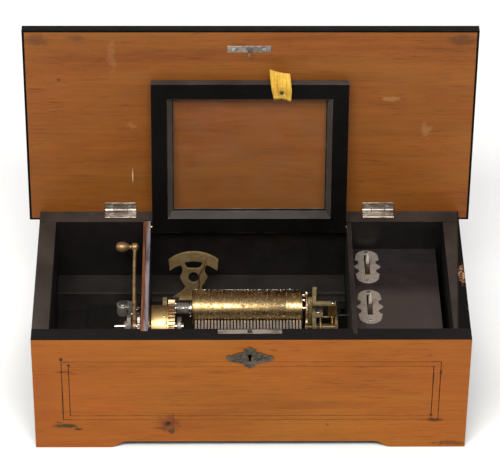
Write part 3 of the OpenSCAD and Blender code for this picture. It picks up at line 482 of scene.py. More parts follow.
def dark_inlay():
    """Stringing let into the front: nearly black up the sides, worn to brown along its length."""
    m = Look("dark_inlay", Roughness=0.7, Specular_IOR_Level=0.08)
    upright = m.level(m.math("ABSOLUTE", m.axis(0)), 0.1640, 0.1662)
    gone = m.level(m.noise(60, 5, 0.65), 0.42, 0.6)
    share = m.total((gone, 0.30), (m.minus(1.0, upright), 0.66))
    m.colour(m.mix(m.math("MINIMUM", share, 1.0), (0.014, 0.006, 0.003), (0.20, 0.058, 0.009)))
    m.bump(m.noise(900, 3), 0.03)
    return m.material


def deck_lacquer():
    """The lever compartment's floor: black, with painted sheen greying its front half."""
    m, colour, fibre = ebony_base("deck_lacquer", (0.013, 0.010, 0.0105), 0.25)
    # painted sheen: in front of a wavering line across y, the black is lightened to grey
    edge = m.add(m.axis(1), m.times(m.noise(16, 3), 0.02))
    painted_sheen = m.level(edge, at(0, 128, 0).y, at(0, 108, 0).y)
    m.colour(m.over(colour, (painted_sheen, 0.8, (0.054, 0.043, 0.040))))
    m.bump(fibre, 0.03)
    return m.material


EBONY = ebony("ebony")
RAIL = ebony("dusty_ebony", 0.9, (0.30, 0.26, 0.22), 1.0, base=(0.0125, 0.0105, 0.0095), scuff=0.55)
# Grey for the glazed frame's sloping and upward faces: partly rubbed wear, partly painted sheen
BEVEL_WEAR_AND_SHEEN = ebony("rubbed_bevel_painted_sheen", 0.8, (0.36, 0.32, 0.28), 1.2, base=(0.034, 0.029, 0.025), scuff=0.9)
# Tops of the back and end boards: a brown base far above the black, partly worn wood and partly painted sheen; the
# right end's outer band is kept black
CASE_TOP_WEAR_AND_SHEEN = ebony(
    "rim_wear_and_painted_sheen", 0.8, (0.20, 0.15, 0.12), 0.9, True, base=(0.027, 0.0205, 0.0172), scuff=0.5,
    Specular_IOR_Level=0.08
)
FRAME_BLACK = ebony(
    "polished_frame", 0.5, (0.20, 0.16, 0.13), 0.8, base=(0.0022, 0.0018, 0.0016), scuff=0.12,
    Specular_IOR_Level=0.05
)
DECK = deck_lacquer()
FRONT_WOOD = front_wood()
LID_WOOD = lid_wood()
WORN_WOOD = worn_wood()
INLAY = dark_inlay()
BRONZE = metal(
    "dark_bronze", (0.13, 0.11, 0.085), (0.055, 0.047, 0.040), (0.38, 0.6), patina=0.6, tarnish=0.6,
    tint=(0.02, 0.017, 0.015)
)
NICKEL = metal(
    "worn_nickel", (0.46, 0.41, 0.36), (0.14, 0.12, 0.105), (0.22, 0.45), (0.3, 1, 1), tarnish=0.7,
    tint=GREY_FILM
)
DARK_NICKEL = metal(
    "dark_nickel", (0.30, 0.265, 0.23), (0.13, 0.115, 0.10), (0.38, 0.58), patina=0.6, tarnish=0.7,
    tint=GREY_FILM, metallic=0.75
)
HINGE_NICKEL = metal(
    "hinge_nickel", (0.36, 0.32, 0.28), (0.15, 0.13, 0.115), (0.28, 0.48), (0.3, 1, 1), tarnish=0.7,
    tint=GREY_FILM
)
# The flame tips: a pale colour, half metallic, that is partly polished metal and partly painted highlight
LEVER_TIP_POLISH_AND_HIGHLIGHT = metal(
    "lever_tip_polish_and_highlight", (0.88, 0.80, 0.70), (0.56, 0.48, 0.40), (0.22, 0.36), patina=0.3, tarnish=0.3,
    tint=(0.14, 0.10, 0.07), metallic=0.5
)
LEVER_STEM = metal(
    "lever_stem", (0.20, 0.15, 0.11), (0.10, 0.07, 0.05), (0.35, 0.5), patina=0.4, scale=200, tarnish=0.5,
    tint=(0.05, 0.035, 0.025), metallic=0.6
)
SPRING_STEEL = metal(
    "spring_steel", (0.42, 0.39, 0.36), (0.26, 0.24, 0.22), (0.45, 0.6), scale=300, tarnish=0.5,
    metallic=0.6
)
BRACKET_NICKEL = metal(
    "bracket_nickel", (0.34, 0.30, 0.265), (0.20, 0.175, 0.15), (0.42, 0.6), patina=0.5, tarnish=0.6,
    tint=(0.07, 0.058, 0.048), metallic=0.6
)
PLATE_NICKEL = metal(
    "grey_nickel", (0.52, 0.46, 0.40), (0.36, 0.31, 0.265), (0.48, 0.66), scale=320, tarnish=0.5,
    tint=(0.13, 0.11, 0.09), metallic=0.7
)
BRASS = metal("brass", (0.72, 0.49, 0.19), (0.40, 0.25, 0.09), (0.22, 0.42), tarnish=0.5)
DARK_BRASS = metal(
    "handled_brass", (0.42, 0.26, 0.12), (0.24, 0.14, 0.07), (0.34, 0.52), patina=0.6, tarnish=0.8,
    metallic=0.7
)
COCK_BRASS = metal(
    "cock_brass", (0.33, 0.245, 0.115), (0.20, 0.145, 0.070), (0.62, 0.8), patina=0.6, tarnish=0.7,
    metallic=0.45
)
BARREL_BRASS = metal(
    "barrel_brass", (0.82, 0.57, 0.26), (0.60, 0.41, 0.18), (0.38, 0.52), patina=0.4, scale=60,
    tarnish=0.45
)
CYLINDER_BRASS = metal(
    "cylinder_brass", (0.47, 0.325, 0.145), (0.26, 0.165, 0.070), (0.22, 0.36), (0.8, 1, 1), patina=0.6,
    scale=240, tarnish=1.0, tint=(0.085, 0.050, 0.022)
)
WHEEL_BRASS = metal(
    "wheel_brass", (0.52, 0.37, 0.21), (0.32, 0.21, 0.12), (0.3, 0.5), tarnish=0.6,
    tint=(0.07, 0.03, 0.015)
)
DULL_BRASS = metal(
    "dull_brass", (0.37, 0.265, 0.125), (0.26, 0.18, 0.08), (0.5, 0.68), patina=0.6, scale=90, tarnish=0.5,
    tint=(0.11, 0.07, 0.03), metallic=0.7
)
STEEL = metal(
    "steel", (0.55, 0.52, 0.49), (0.24, 0.22, 0.20), (0.24, 0.45), tarnish=0.6, tint=(0.06, 0.045, 0.035)
)
BRIGHT = metal(
    "bright_steel", (0.80, 0.74, 0.66), (0.50, 0.45, 0.39), (0.14, 0.3), patina=0.3, tarnish=0.3,
    tint=(0.12, 0.09, 0.07)
)
PIN_STEEL = metal("pin_steel", (0.62, 0.56, 0.46), (0.36, 0.30, 0.22), (0.3, 0.45), scale=400)
COMB_STEEL = metal(
    "comb_steel", (0.50, 0.455, 0.41), (0.36, 0.325, 0.29), (0.42, 0.6), (1, 0.05, 1), tarnish=0.5,
    tint=(0.10, 0.085, 0.07), metallic=0.8
)
IRON = metal("black_iron", (0.05, 0.048, 0.045), (0.03, 0.028, 0.026), (0.4, 0.6), tarnish=0.4)
GLASS = glass()
SILK = silk()

LOOK_OF_SLOT = {
    "fruitwood": FRONT_WOOD,
    "ebonised_wood": EBONY,
    "dark_inlay": INLAY,
    "dark_bronze": BRONZE,
    "nickel": NICKEL,
    "brass": BRASS,
    "steel": STEEL,
    "black_iron": IRON,
    "glass": GLASS,
    "ribbon": SILK,
}
LOOK_OF_NODE = {
    "governor_first_wheel": DULL_BRASS,
    "governor_second_wheel": DULL_BRASS,
    "great_wheel": WHEEL_BRASS,
    "cylinder_wheel": WHEEL_BRASS,
    "cylinder_arbor": BRIGHT,
    "lock_case": DARK_NICKEL,
}


def dress_nodes():
    """Gives every CAD node the look of its slot, or its own."""
    for name, node in NODES.items():
        for place in node.material_slots:
            place.material = LOOK_OF_NODE.get(name) or LOOK_OF_SLOT[SLOT_OF[name]]


# ---- making pieces ----


def bake(name, mesh, looks, body, slot, smooth=35, bevel=0.0, solid=0.0, pick=None):
    """Turns a mesh in row metres into a piece that rides on a body."""
    thing = bpy.data.objects.new(name, mesh)
    bpy.context.scene.collection.objects.link(thing)
    if solid:
        modifier = thing.modifiers.new("solid", "SOLIDIFY")
        modifier.thickness, modifier.offset = solid * MM, 0
    if bevel:
        modifier = thing.modifiers.new("bevel", "BEVEL")
        modifier.width, modifier.segments, modifier.limit_method = bevel * MM, 2, "ANGLE"
        modifier.angle_limit, modifier.use_clamp_overlap = radians(28), True
    if thing.modifiers:
        bpy.context.view_layer.update()
        made = bpy.data.meshes.new_from_object(thing.evaluated_get(bpy.context.evaluated_depsgraph_get()))
        thing.modifiers.clear()
        thing.data = made
    mesh = thing.data
    mesh.materials.clear()
    for look in looks:
        mesh.materials.append(look)
    for face in mesh.polygons:
        face.material_index = pick(face.normal) if pick else 0
    mesh.shade_smooth()
    mesh.set_sharp_from_angle(angle=radians(smooth))
    mesh.name = name
    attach(thing, body)
    return thing


def softened(node, width, *looks, pick=None, smooth=1):
    """A CAD solid with rounded edges, in place of its node."""
    mesh = bmesh.new()
    mesh.from_mesh(NODES[node].data)
    bmesh.ops.remove_doubles(mesh, verts=mesh.verts, dist=2e-6)
    bmesh.ops.dissolve_limit(mesh, angle_limit=radians(1), verts=mesh.verts, edges=mesh.edges)
    data = bpy.data.meshes.new(node)
    mesh.to_mesh(data)
    mesh.free()
    thing = bake(node + "_made", data, looks, BODY_OF[node], SLOT_OF[node], smooth, bevel=width, pick=pick)
    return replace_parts(thing, node)


def circle(r, steps=32, x=0.0, y=0.0):
    turns = [i * tau / steps for i in range(steps)]
    return [(x + r * cos(a), y + r * sin(a)) for a in turns]


def arc(r, start, end, steps, x=0.0, y=0.0):
    """Points on an arc about (x, y), from one angle to another in degrees."""
    turns = [radians(start + (end - start) * i / steps) for i in range(steps + 1)]
    return [(x + r * cos(a), y + r * sin(a)) for a in turns]


def inset(outline, depth):
    """A closed outline moved inwards by depth."""
    moved, n = [], len(outline)
    area = sum(outline[i - 1][0] * outline[i][1] - outline[i][0] * outline[i - 1][1] for i in range(n))
    side = 1 if area > 0 else -1
    for i in range(n):
        a, b, c = (Vector(outline[k % n]) for k in (i - 1, i, i + 1))
        before, after = (b - a).normalized(), (c - b).normalized()
        normal = Vector((-before.y - after.y, before.x + after.x)) * side
        size = max(normal.length_squared / 2, 0.35)
        moved.append(tuple(b + normal * depth / size))
    return moved


class Shape:
    """One piece's mesh, gathered part by part in case millimetres."""

    def __init__(self, place=None):
        self.mesh = bmesh.new()
        self.place = place or Matrix.Identity(4)

    def loft(self, rows, closed=True, caps=True, place=None):
        """Skins rows of points, each the next section of a solid or a sheet."""
        place = self.place @ (place or Matrix.Identity(4))
        rings = [[self.mesh.verts.new(place @ Vector(point)) for point in row] for row in rows]
        count = len(rings[0])
        for a, b in zip(rings, rings[1:]):
            for i in range(count if closed else count - 1):
                j = (i + 1) % count
                self.mesh.faces.new((a[i], a[j], b[j], b[i]))
        if caps:
            self.mesh.faces.new(rings[0][::-1])
            self.mesh.faces.new(rings[-1])
        return self

    def lathe(self, profile, origin=(0, 0, 0), axis="X", steps=20, place=None):
        """Turns (distance along the axis, radius) pairs about an axis through origin."""
        rows = []
        for along, r in profile:
            row = []
            for u, v in circle(max(r, 0.01), steps):
                offset = {"X": (along, u, v), "Y": (v, along, u), "Z": (u, v, along)}[axis]
                row.append(Vector(origin) + Vector(offset))
            rows.append(row)
        return self.loft(rows, place=place)

    def tube(self, path, radius, sides=12):
        """A round rod along a path, with one radius or one for each point."""
        path = [Vector(point) for point in path]
        rows, side = [], None
        for i, point in enumerate(path):
            along = (path[min(i + 1, len(path) - 1)] - path[max(i - 1, 0)]).normalized()
            side = along.orthogonal() if side is None else side - along * side.dot(along)
            side.normalize()
            up = along.cross(side)
            r = radius[i] if isinstance(radius, list) else radius
            rows.append([point + side * u + up * v for u, v in circle(r, sides)])
        return self.loft(rows)

    def prism(self, outline, low, high, soft=0.2, place=None):
        """An outline in its own XY plane, raised along Z, with softened rims."""
        tight = inset(outline, soft)
        levels = ((tight, low), (outline, low + soft), (outline, high - soft), (tight, high))
        return self.loft([[(u, v, w) for u, v in loop] for loop, w in levels], place=place)

    def box(self, low, high, soft=0.2):
        outline = [(low[0], low[1]), (high[0], low[1]), (high[0], high[1]), (low[0], high[1])]
        return self.prism(outline, low[2], high[2], soft)

    def pierced(self, outline, holes, low, high, soft=0.2, place=None):
        """As prism, with holes cut through."""
        curve = bpy.data.curves.new("outline", "CURVE")
        curve.dimensions, curve.fill_mode = "2D", "BOTH"
        curve.extrude, curve.bevel_depth, curve.bevel_resolution = (high - low) / 2 - soft, soft, 1
        loops = [inset(outline, soft)] + [inset(hole, -soft) for hole in holes]
        for loop in loops:
            line = curve.splines.new("POLY")
            line.points.add(len(loop) - 1)
            for point, (u, v) in zip(line.points, loop):
                point.co = (u, v, 0, 1)
            line.use_cyclic_u = True
        thing = bpy.data.objects.new("outline", curve)
        made = bpy.data.meshes.new_from_object(thing)
        middle = Matrix.Translation((0, 0, (low + high) / 2))
        made.transform(self.place @ (place or Matrix.Identity(4)) @ middle)
        self.mesh.from_mesh(made)
        bpy.data.objects.remove(thing)
        bpy.data.curves.remove(curve)
        return self

    def screw(self, centre, r, height, turn, down=False):
        """A slotted screw head, facing up or down: two half discs on a lower disc."""
        upright = Matrix.Rotation(pi if down else 0, 4, "X")
        place = Matrix.Translation(centre) @ upright @ Matrix.Rotation(turn, 4, "Z")
        self.lathe([(0, r), (height * 0.45, r)], axis="Z", steps=28, place=place)
        dome, slot = 0.25, 0.15
        start = asin(slot)
        for half in (0, pi):
            turns = [start + (pi - 2 * start) * i / 14 + half for i in range(15)]
            rows = []
            for share, w in ((1.0, 0.4), (1.0, 0.72), (1 - dome * 0.35, 0.92), (1 - dome, 1.0)):
                row = []
                for a in turns:
                    u, v = r * share * cos(a), r * share * sin(a)
                    if share < 1:
                        v = copysign(max(abs(v), r * slot), v)
                    row.append((u, v, height * w))
                rows.append(row)
            self.loft(rows, place=place)
        return self

    def piece(self, name, stands_for, look, body=None, smooth=35, **options):
        """Hands the mesh in, in place of its node, or beside it where the name ends in _trim."""
        bmesh.ops.recalc_face_normals(self.mesh, faces=self.mesh.faces)
        self.mesh.transform(TO_ROW)
        data = bpy.data.meshes.new(name)
        self.mesh.to_mesh(data)
        self.mesh.free()
        thing = bake(name, data, [look], body or BODY_OF[stands_for], SLOT_OF[stands_for], smooth, **options)
        return thing if name.endswith("_trim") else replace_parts(thing, stands_for)


# ---- case, lids and fittings ----


def facing_up(normal):
    return 1 if normal.z > 0.6 else 0


def splayed(normal):
    """True for the sloping faces inside the glazed lid's rails."""
    local = GLAZED.to_3x3().inverted() @ normal
    return -0.8 < local.z < -0.3


def make_boards():
    """The wooden boards, each with rounded edges."""
    for node in ("back_panel", "left_end", "right_end"):
        # the upward faces take the top look, which holds painted sheen
        softened(node, 0.7, EBONY, CASE_TOP_WEAR_AND_SHEEN, pick=facing_up)
    for node in ("rear_rail", "rear_batten"):
        softened(node, 0.6, RAIL)
    softened("left_partition", 0.6, RAIL, WORN_WOOD, pick=facing_up)
    softened("right_partition", 0.6, RAIL)
    softened("control_deck", 0.4, DECK)
    # the frame's sloping and upward faces take the grey look, which is partly painted sheen
    softened("glazed_frame", 0.5, FRAME_BLACK, BEVEL_WEAR_AND_SHEEN, pick=lambda n: 1 if splayed(n) else facing_up(n))
    softened("lid_panel", 0.3, LID_WOOD)
    softened("lid_edge_bands", 0.4, FRAME_BLACK)
    softened("glass_ledge", 0.4, EBONY)


def closed_rail():
    """Front edge and underside of the glazed lid's front rail, when it is closed."""
    corners = [GLAZED.inverted() @ (TO_ROW.inverted() @ v.co) for v in NODES["glazed_frame"].data.vertices]
    return min(c.y for c in corners), min(c.z for c in corners)


def make_ribbon():
    """A silk loop of one folded strip, gathered at its tack and standing up off the rail."""
    x0, x1 = 17.6, 36.4
    rail_y, rail_z = closed_rail()
    steps, columns = 60, 28
    half, bend = 0.46, 0.08
    rows = []
    for i in range(steps + 1):
        s = i / steps
        row = []
        for k in range(columns + 1):
            u = k / columns
            bow = sin(pi * u)
            tall = 15.2 - 4.4 * u - 0.8 * bow
            out = 14.2 + 2.2 * u - 1.2 * bow
            if s < half:
                t = s / half
                y, z = out - (tall + out) * t, -0.35 - 0.35 * sin(pi * t)
            elif s < half + bend:
                t = (s - half) / bend
                y, z = -tall - 1.3 * sin(pi * t), -0.35 - 3.0 * t
            else:
                t = (s - half - bend) / half
                swell = sin(pi * min(1, t * 1.1)) ** 1.2
                y, z = -tall + (out + tall - 0.8) * t, -3.35 + 2.5 * t - (2.6 + 1.6 * u) * swell
            down = max(0.0, min(1.0, (y + tall) / (tall + out)))
            ribs = 0.24 * sin(2 * pi * 6 * u + 0.6) * (0.3 + 1.2 * down)
            fold = 1.5 * down * sin(pi * 2.4 * u + 0.3)
            left = x0 + 4.0 * down ** 1.1 - 0.5 * sin(pi * down)
            right = x1 + 1.1 * down + 0.9 * sin(pi * down)
            row.append((left + (right - left) * u, rail_y + y, min(rail_z - 0.25, rail_z + z - ribs - fold)))
        rows.append(row)
    shape = Shape(GLAZED).loft(rows, closed=False, caps=False)
    ribbon = shape.piece("ribbon_loop", "ribbon_pull", SILK, smooth=180, solid=0.22)
    threads = Shape(GLAZED)
    dice = random.Random(5)
    for _ in range(26):
        u = dice.random()
        end_y = rail_y + 13.8 + 2.2 * u - 1.2 * sin(pi * u)
        start = Vector((x0 + 4.2 + (x1 - x0 - 3.2) * u, end_y, rail_z - 0.9))
        end = start + Vector((dice.uniform(-0.5, 0.5), dice.uniform(0.8, 2.2), dice.uniform(-0.5, 0.1)))
        middle = start.lerp(end, 0.5) + Vector((dice.uniform(-0.2, 0.2), 0, 0))
        threads.tube([start, middle, end], 0.08, 5)
    threads.piece("ribbon_threads_trim", "ribbon_pull", SILK)
    tack = Shape(GLAZED)
    profile = [(-4.6, 0.3), (-4.5, 1.0), (-4.1, 1.7), (-3.6, 2.0), (-3.3, 1.9), (-3.2, 0.8), (0.5, 0.6)]
    tack.lathe(profile, (28.8, rail_y + 6.5, rail_z), "Z", 24)
    tack.piece("ribbon_tack_head", "ribbon_tack", BRONZE)


def make_escutcheon():
    """Cast plate with leafy edges, ribs to its wing tips and a rim round the keyhole."""
    side = [
        (1.7, 11.6), (3.3, 9.9), (5.7, 9.6), (5.6, 7.2), (7.2, 5.6), (9.2, 6.1), (11.2, 5.0), (12.6, 4.2),
        (14.8, 4.0), (15.6, 2.6), (17.0, 2.1), (19.6, 2.6), (20.9, 1.0), (22.2, -1), (20.7, -2.3),
        (20.2, -3.9), (17.2, -4.0), (15.2, -5.3), (11.8, -5.6), (9.6, -7.0), (6.4, -7.6), (4.6, -9.6),
        (2.2, -11.4),
    ]
    outline = [(0, 12.5)] + side + [(0, -13.2)] + [(-u, v) for u, v in reversed(side)]
    hole = arc(2.1, -60, 240, 16, y=2) + [(-1.1, -4.8), (1.1, -4.8)]
    shape = Shape(Matrix.Translation((LOCK_X, 0, 110.5)) @ FACING).pierced(outline, [hole], 0.05, 0.95, 0.3)
    tips = [
        (19.8, -0.6), (18.4, 1.4), (17.8, -2.6), (13.6, 2.8), (13.2, -4.2), (8.8, 4.4), (8.2, -5.6),
        (4.4, 8.2),
    ]
    for k in (-1, 1):
        for u, v in tips:
            root, tip = Vector((u * 0.42, v * 0.25 + 0.6, 0.9)), Vector((u, v, 0.95))
            crest = root.lerp(tip, 0.5) + Vector((0, 0.35, 0.15))
            shape.tube([(k * p.x, p.y, p.z) for p in (root, crest, tip)], [0.35, 0.55, 0.2], 8)
        shape.lathe([(0.9, 0.9), (1.15, 0.85), (1.35, 0.4)], (k * 15.6, -0.9, 0), "Z", 14)
    rim = [(1.35 * u, 2 + 1.35 * (v - 2) if v > 0 else v * 1.1, 0.95) for u, v in hole]
    shape.tube(rim + [rim[0]], 0.45, 8)
    for v in (10.2, -10.6):
        shape.lathe([(0.9, 0.7), (1.2, 0.6), (1.35, 0.2)], (0, v, 0), "Z", 12)
    shape.piece("escutcheon_cast", "escutcheon", BRONZE, smooth=40)


def make_hinges():
    """Knuckles in three barrels to a hinge, bevelled leaves and slotted screws."""
    y, z, half = 191.5, 131.5, 15.0
    pin = (0, y, z)
    case, lid, heads, lid_heads = Shape(), Shape(LID), Shape(), Shape(LID)
    for x in (-123.1, 123.1):
        case.box((x - half, y - 10.5, 129.8), (x + half, y - 1.4, 131.05), 0.25)
        lid.box((x - half, y - 8.5, 131.25), (x + half, y - 0.4, 132.4), 0.25)
        for k in (-1, 1):
            a, b = sorted((x + k * 6.8, x + k * half))
            case.lathe([(a, 1.6), (a + 0.3, 2.2), (b - 0.3, 2.2), (b, 1.6)], pin, steps=28)
            if k > 0:
                case.lathe([(b, 0.6), (b + 0.1, 1.0), (b + 0.5, 0.5)], pin)
            else:
                case.lathe([(a - 0.5, 0.5), (a - 0.1, 1.0), (a, 0.6)], pin)
            heads.screw((x + k * 9, y - 6.5, 130.7), 2.0, 0.4, 0.4 + k)
            lid_heads.screw((x + k * 9, y - 5.6, 131.6), 2.0, 0.4, 0.9 * k, down=True)
        lid.lathe([(x - 6.3, 1.6), (x - 6.0, 2.2), (x + 6.0, 2.2), (x + 6.3, 1.6)], pin, steps=28)
    case.piece("hinge_case_plates", "hinge_case_leaves", NICKEL)
    lid.piece("hinge_lid_plates", "hinge_lid_leaves", HINGE_NICKEL)
    heads.piece("hinge_case_screw_heads_trim", "case_screws", STEEL)
    for k in (-1, 1):
        lid_heads.screw((LOCK_X + k * 14, 12, 131.55), 1.9, 0.4, 0.3 + k, down=True)
    lid_heads.piece("lid_screw_heads", "lid_screws", STEEL)


def make_lock():
    """Strike plate and staple on the lid, selvedge and bolt slot on the case."""
    strike = Shape(LID)
    strike.box((-21.6, 8.5, 131.17), (18.8, 15.5, 132.4), 0.25)
    strike.piece("strike_face", "strike_plate", DARK_NICKEL)
    staple = Shape(LID)
    near, far, left, right = 10.5, 13.55, -2.3, -0.5
    staple.box((left, near, 121.0), (right, near + 0.6, 131.3))
    staple.box((left, far - 0.6, 121.0), (right, far, 131.3))
    staple.box((left, near, 120.6), (right, far, 122.0))
    staple.piece("strike_staple_trim", "strike_plate", DARK_NICKEL)
    low, high = case_box("lock_case")
    top = Shape()
    slot = [(-3.6, 9.8), (0.8, 9.8), (0.8, 14.2), (-3.6, 14.2)]
    face = [(low.x, 9), (high.x, 9), (high.x, 15), (low.x, 15)]
    top.pierced(face, [slot], high.z - 0.55, high.z + 0.08, 0.08)
    for k in (-1, 1):
        top.screw((LOCK_X + k * 22.5, 12, high.z - 0.32), 1.7, 0.4, 0.2 + k)
    top.piece("selvedge_plate_trim", "lock_case", NICKEL)


def control_outline():
    """A plate with round ends and a pointed middle between two hollows down each side."""
    quarter = [(10.6, 16.4), (11.5, 10.9)] + arc(4.2, 110, 250, 7, 12.4, 6.4) + [(11.9, 1.6)]
    side = quarter + [(12.6, 0)] + [(u, -v) for u, v in reversed(quarter)]
    half = arc(11.8, 32, 148, 16, y=12.7) + [(-u, v) for u, v in side]
    return half + [(-u, -v) for u, v in half]


def bulged(y, sections):
    """Square-shouldered ovals up a lever: (height, half width, half depth)."""
    oval = [[copysign(abs(c) ** 0.7, c) for c in point] for point in circle(1, 20)]
    return [[(CONTROL_X + wide * u, y + deep * v, z) for u, v in oval] for z, wide, deep in sections]


def make_controls():
    """Two pierced plates with screws, and a flame-tipped lever in each."""
    deck = case_box("control_deck")[1].z
    slot = [(-2.45, -12), (2.45, -12), (2.45, 18), (-2.45, 18)]
    plates, screws = Shape(), Shape()
    for y in CONTROL_Y.values():
        plates.pierced(control_outline(), [slot], 0, 1.25, 0.35, Matrix.Translation((CONTROL_X, y, deck)))
        for k in (-1, 1):
            screws.screw((CONTROL_X, y + k * 21, deck + 1.1), 1.9, 0.7, 0.7 + k * 0.8)
            ear = CONTROL_X + k * 2.7
            plates.box((ear - 0.4, y - 4, 62), (ear + 0.4, y + 4, deck - 0.2))
        plates.lathe([(CONTROL_X - 3.1, 1.2), (CONTROL_X + 3.1, 1.2)], (0, y, 66), steps=16)
    plates.piece("control_faces", "control_plates", PLATE_NICKEL, smooth=30)
    screws.piece("case_screw_heads", "case_screws", STEEL)
    stem = (
        (63.2, 1.2, 3.4), (66, 1.3, 3.9), (74, 1.2, 2.9), (84, 1.3, 2.4), (90, 2.1, 2.6), (98, 2.1, 2.5),
        (104, 1.6, 1.8),
    )
    flame = (
        (103.6, 1.5, 1.7), (107, 1.7, 2.0), (109, 1.9, 2.5), (111, 1.7, 2.3), (113.4, 1.0, 1.4),
        (115.2, 0.5, 0.7), (116, 0.15, 0.2),
    )
    for node, y in CONTROL_Y.items():
        lever = Shape().loft(bulged(y, stem))
        tip = Shape().loft(bulged(y, flame))
        if node == "stop_lever":
            lever.box((110.7, 87.8, 78.6), (113.3, 97, 81.4), 0.3)
            wire = Shape().tube([(x, 96, 80) for x in (110.8, 96, 77, 76.2)], [0.8, 0.8, 0.75, 0.3])
            wire.piece("stop_wire_trim", node, IRON)
        lever.piece(node + "_cast", node, LEVER_STEM)
        # the tip's pale colour holds a painted highlight
        tip.piece(node + "_tip_trim", node, LEVER_TIP_POLISH_AND_HIGHLIGHT)


# ---- movement ----


def make_winding():
    """Lever, its pear handle, arbor, bracket, ratchet and clicks."""
    lever = Shape(ON_LEVER)
    hub = [(-111.4, 2.9), (-111.3, 4.4), (-110.8, 5.7), (-110.2, 6.3), (-107.4, 6.3), (-106.9, 5.9)]
    lever.lathe(hub, steps=36)
    rod = [
        (-108.7, 4.5, 0), (-108.7, 9, 0), (-108.8, 16, 0), (-109.1, 34, 0.2), (-109.4, 54, 0.4),
        (-109.3, 70, 0.2), (-109, 80, 0),
    ]
    lever.tube(rod, [3.3, 3.0, 2.3, 1.95, 1.7, 1.6, 1.7], 16)
    eye = [
        (-112.0, 2.6), (-111.6, 3.4), (-110.9, 3.9), (-107.2, 3.9), (-106.4, 3.3), (-105.6, 2.2),
        (-105.2, 1.2),
    ]
    lever.lathe(eye, (0, 82, 0), steps=28)
    lever.piece("winding_lever_turned", "winding_lever", DARK_BRASS)
    knob = Shape(ON_LEVER)
    pear = [
        (-127.2, 0.1), (-127.1, 1.4), (-126.4, 3.0), (-125.0, 4.3), (-123.0, 5.0), (-120.8, 5.1),
        (-118.4, 4.6), (-116.2, 3.5), (-114.4, 2.3), (-113.2, 2.0), (-111.8, 2.3),
    ]
    knob.lathe(pear, (0, 82, 0), steps=36)
    knob.piece("lever_knob_turned", "lever_knob", DARK_BRASS, smooth=60)
    arbor = Shape()
    profile = [(-127.7, 1.3), (-127.3, 1.9), (-119.6, 2.0), (-119.3, 2.9), (-62.8, 3.0), (-62.5, 2.7)]
    arbor.lathe(profile, (0, *ARBOR), steps=32)
    arbor.piece("winding_arbor_turned", "winding_arbor", BRIGHT)
    bracket = Shape()
    outline = [
        (68, 51), (140, 51), (140, 61), (128, 62), (116, 64.5), (108, 68), (100, 74), (94, 81), (88, 87.6),
        (81, 89.6), (74, 86.4), (70, 78),
    ]
    bracket.pierced(outline, [circle(3.1, 24, *ARBOR)], -115.6, -111.6, 0.5, ACROSS)
    bracket.lathe([(51, 6), (61.2, 6), (62, 5.2)], (-121.2, 135, 0), "Z", 32)
    bracket.box((-121.2, 130, 57), (-114.8, 140, 61.9), 0.4)
    bracket.lathe([(-117.8, 3.15), (-117.8, 4.8), (-117.3, 5.3), (-115.4, 5.3)], (0, *ARBOR), steps=32)
    bracket.piece("left_bracket_cast", "left_barrel_bracket", BRACKET_NICKEL)
    click = Shape(ON_LEVER)
    stud = [
        (-112.2, 1.4), (-111.8, 2.3), (-110.7, 2.4), (-110.6, 1.0), (-103.2, 1.0), (-103.1, 2.2),
        (-102.5, 1.8),
    ]
    click.lathe(stud, (0, 12.6, 0))
    pawl = [(10.8, -2), (14.4, -1.8), (14.4, 2), (12.0, 4.6), (9.6, 5.4), (8.8, 6.4), (8.2, 5.6), (9.8, 3.2)]
    click.prism(pawl, -106, -103.2, 0.25, ACROSS)
    click.piece("drive_click_made", "drive_click", STEEL)
    softened("holding_click", 0.3, STEEL)
    softened("ratchet_wheel", 0.15, STEEL)


def make_barrel():
    """Spring barrel with turned rims and three studs round it."""
    drum = Shape()
    profile = [
        (-93.2, 4.2), (-93.2, 18.9), (-92.9, 19.6), (-92.2, 20.0), (-91.2, 20.0), (-91.0, 19.75),
        (-90.7, 20.0), (-78.6, 20.0), (-78.3, 19.7), (-78.0, 20.0), (-76.7, 20.0), (-76.6, 18.4),
        (-91.4, 18.2), (-91.6, 3.4), (-92.6, 3.3),
    ]
    drum.lathe(profile, (0, *ARBOR), steps=72)
    drum.piece("barrel_turned", "barrel_drum", BARREL_BRASS, smooth=28)
    studs = Shape()
    for angle in (20, 140, 260):
        turn = Matrix.Translation((0, *ARBOR)) @ Matrix.Rotation(radians(angle), 4, "X")
        studs.lathe([(19.7, 1.1), (20.05, 1.1), (20.2, 0.8), (20.25, 0.2)], (-80.5, 0, 0), "Z", place=turn)
    studs.piece("barrel_studs_trim", "barrel_drum", STEEL)


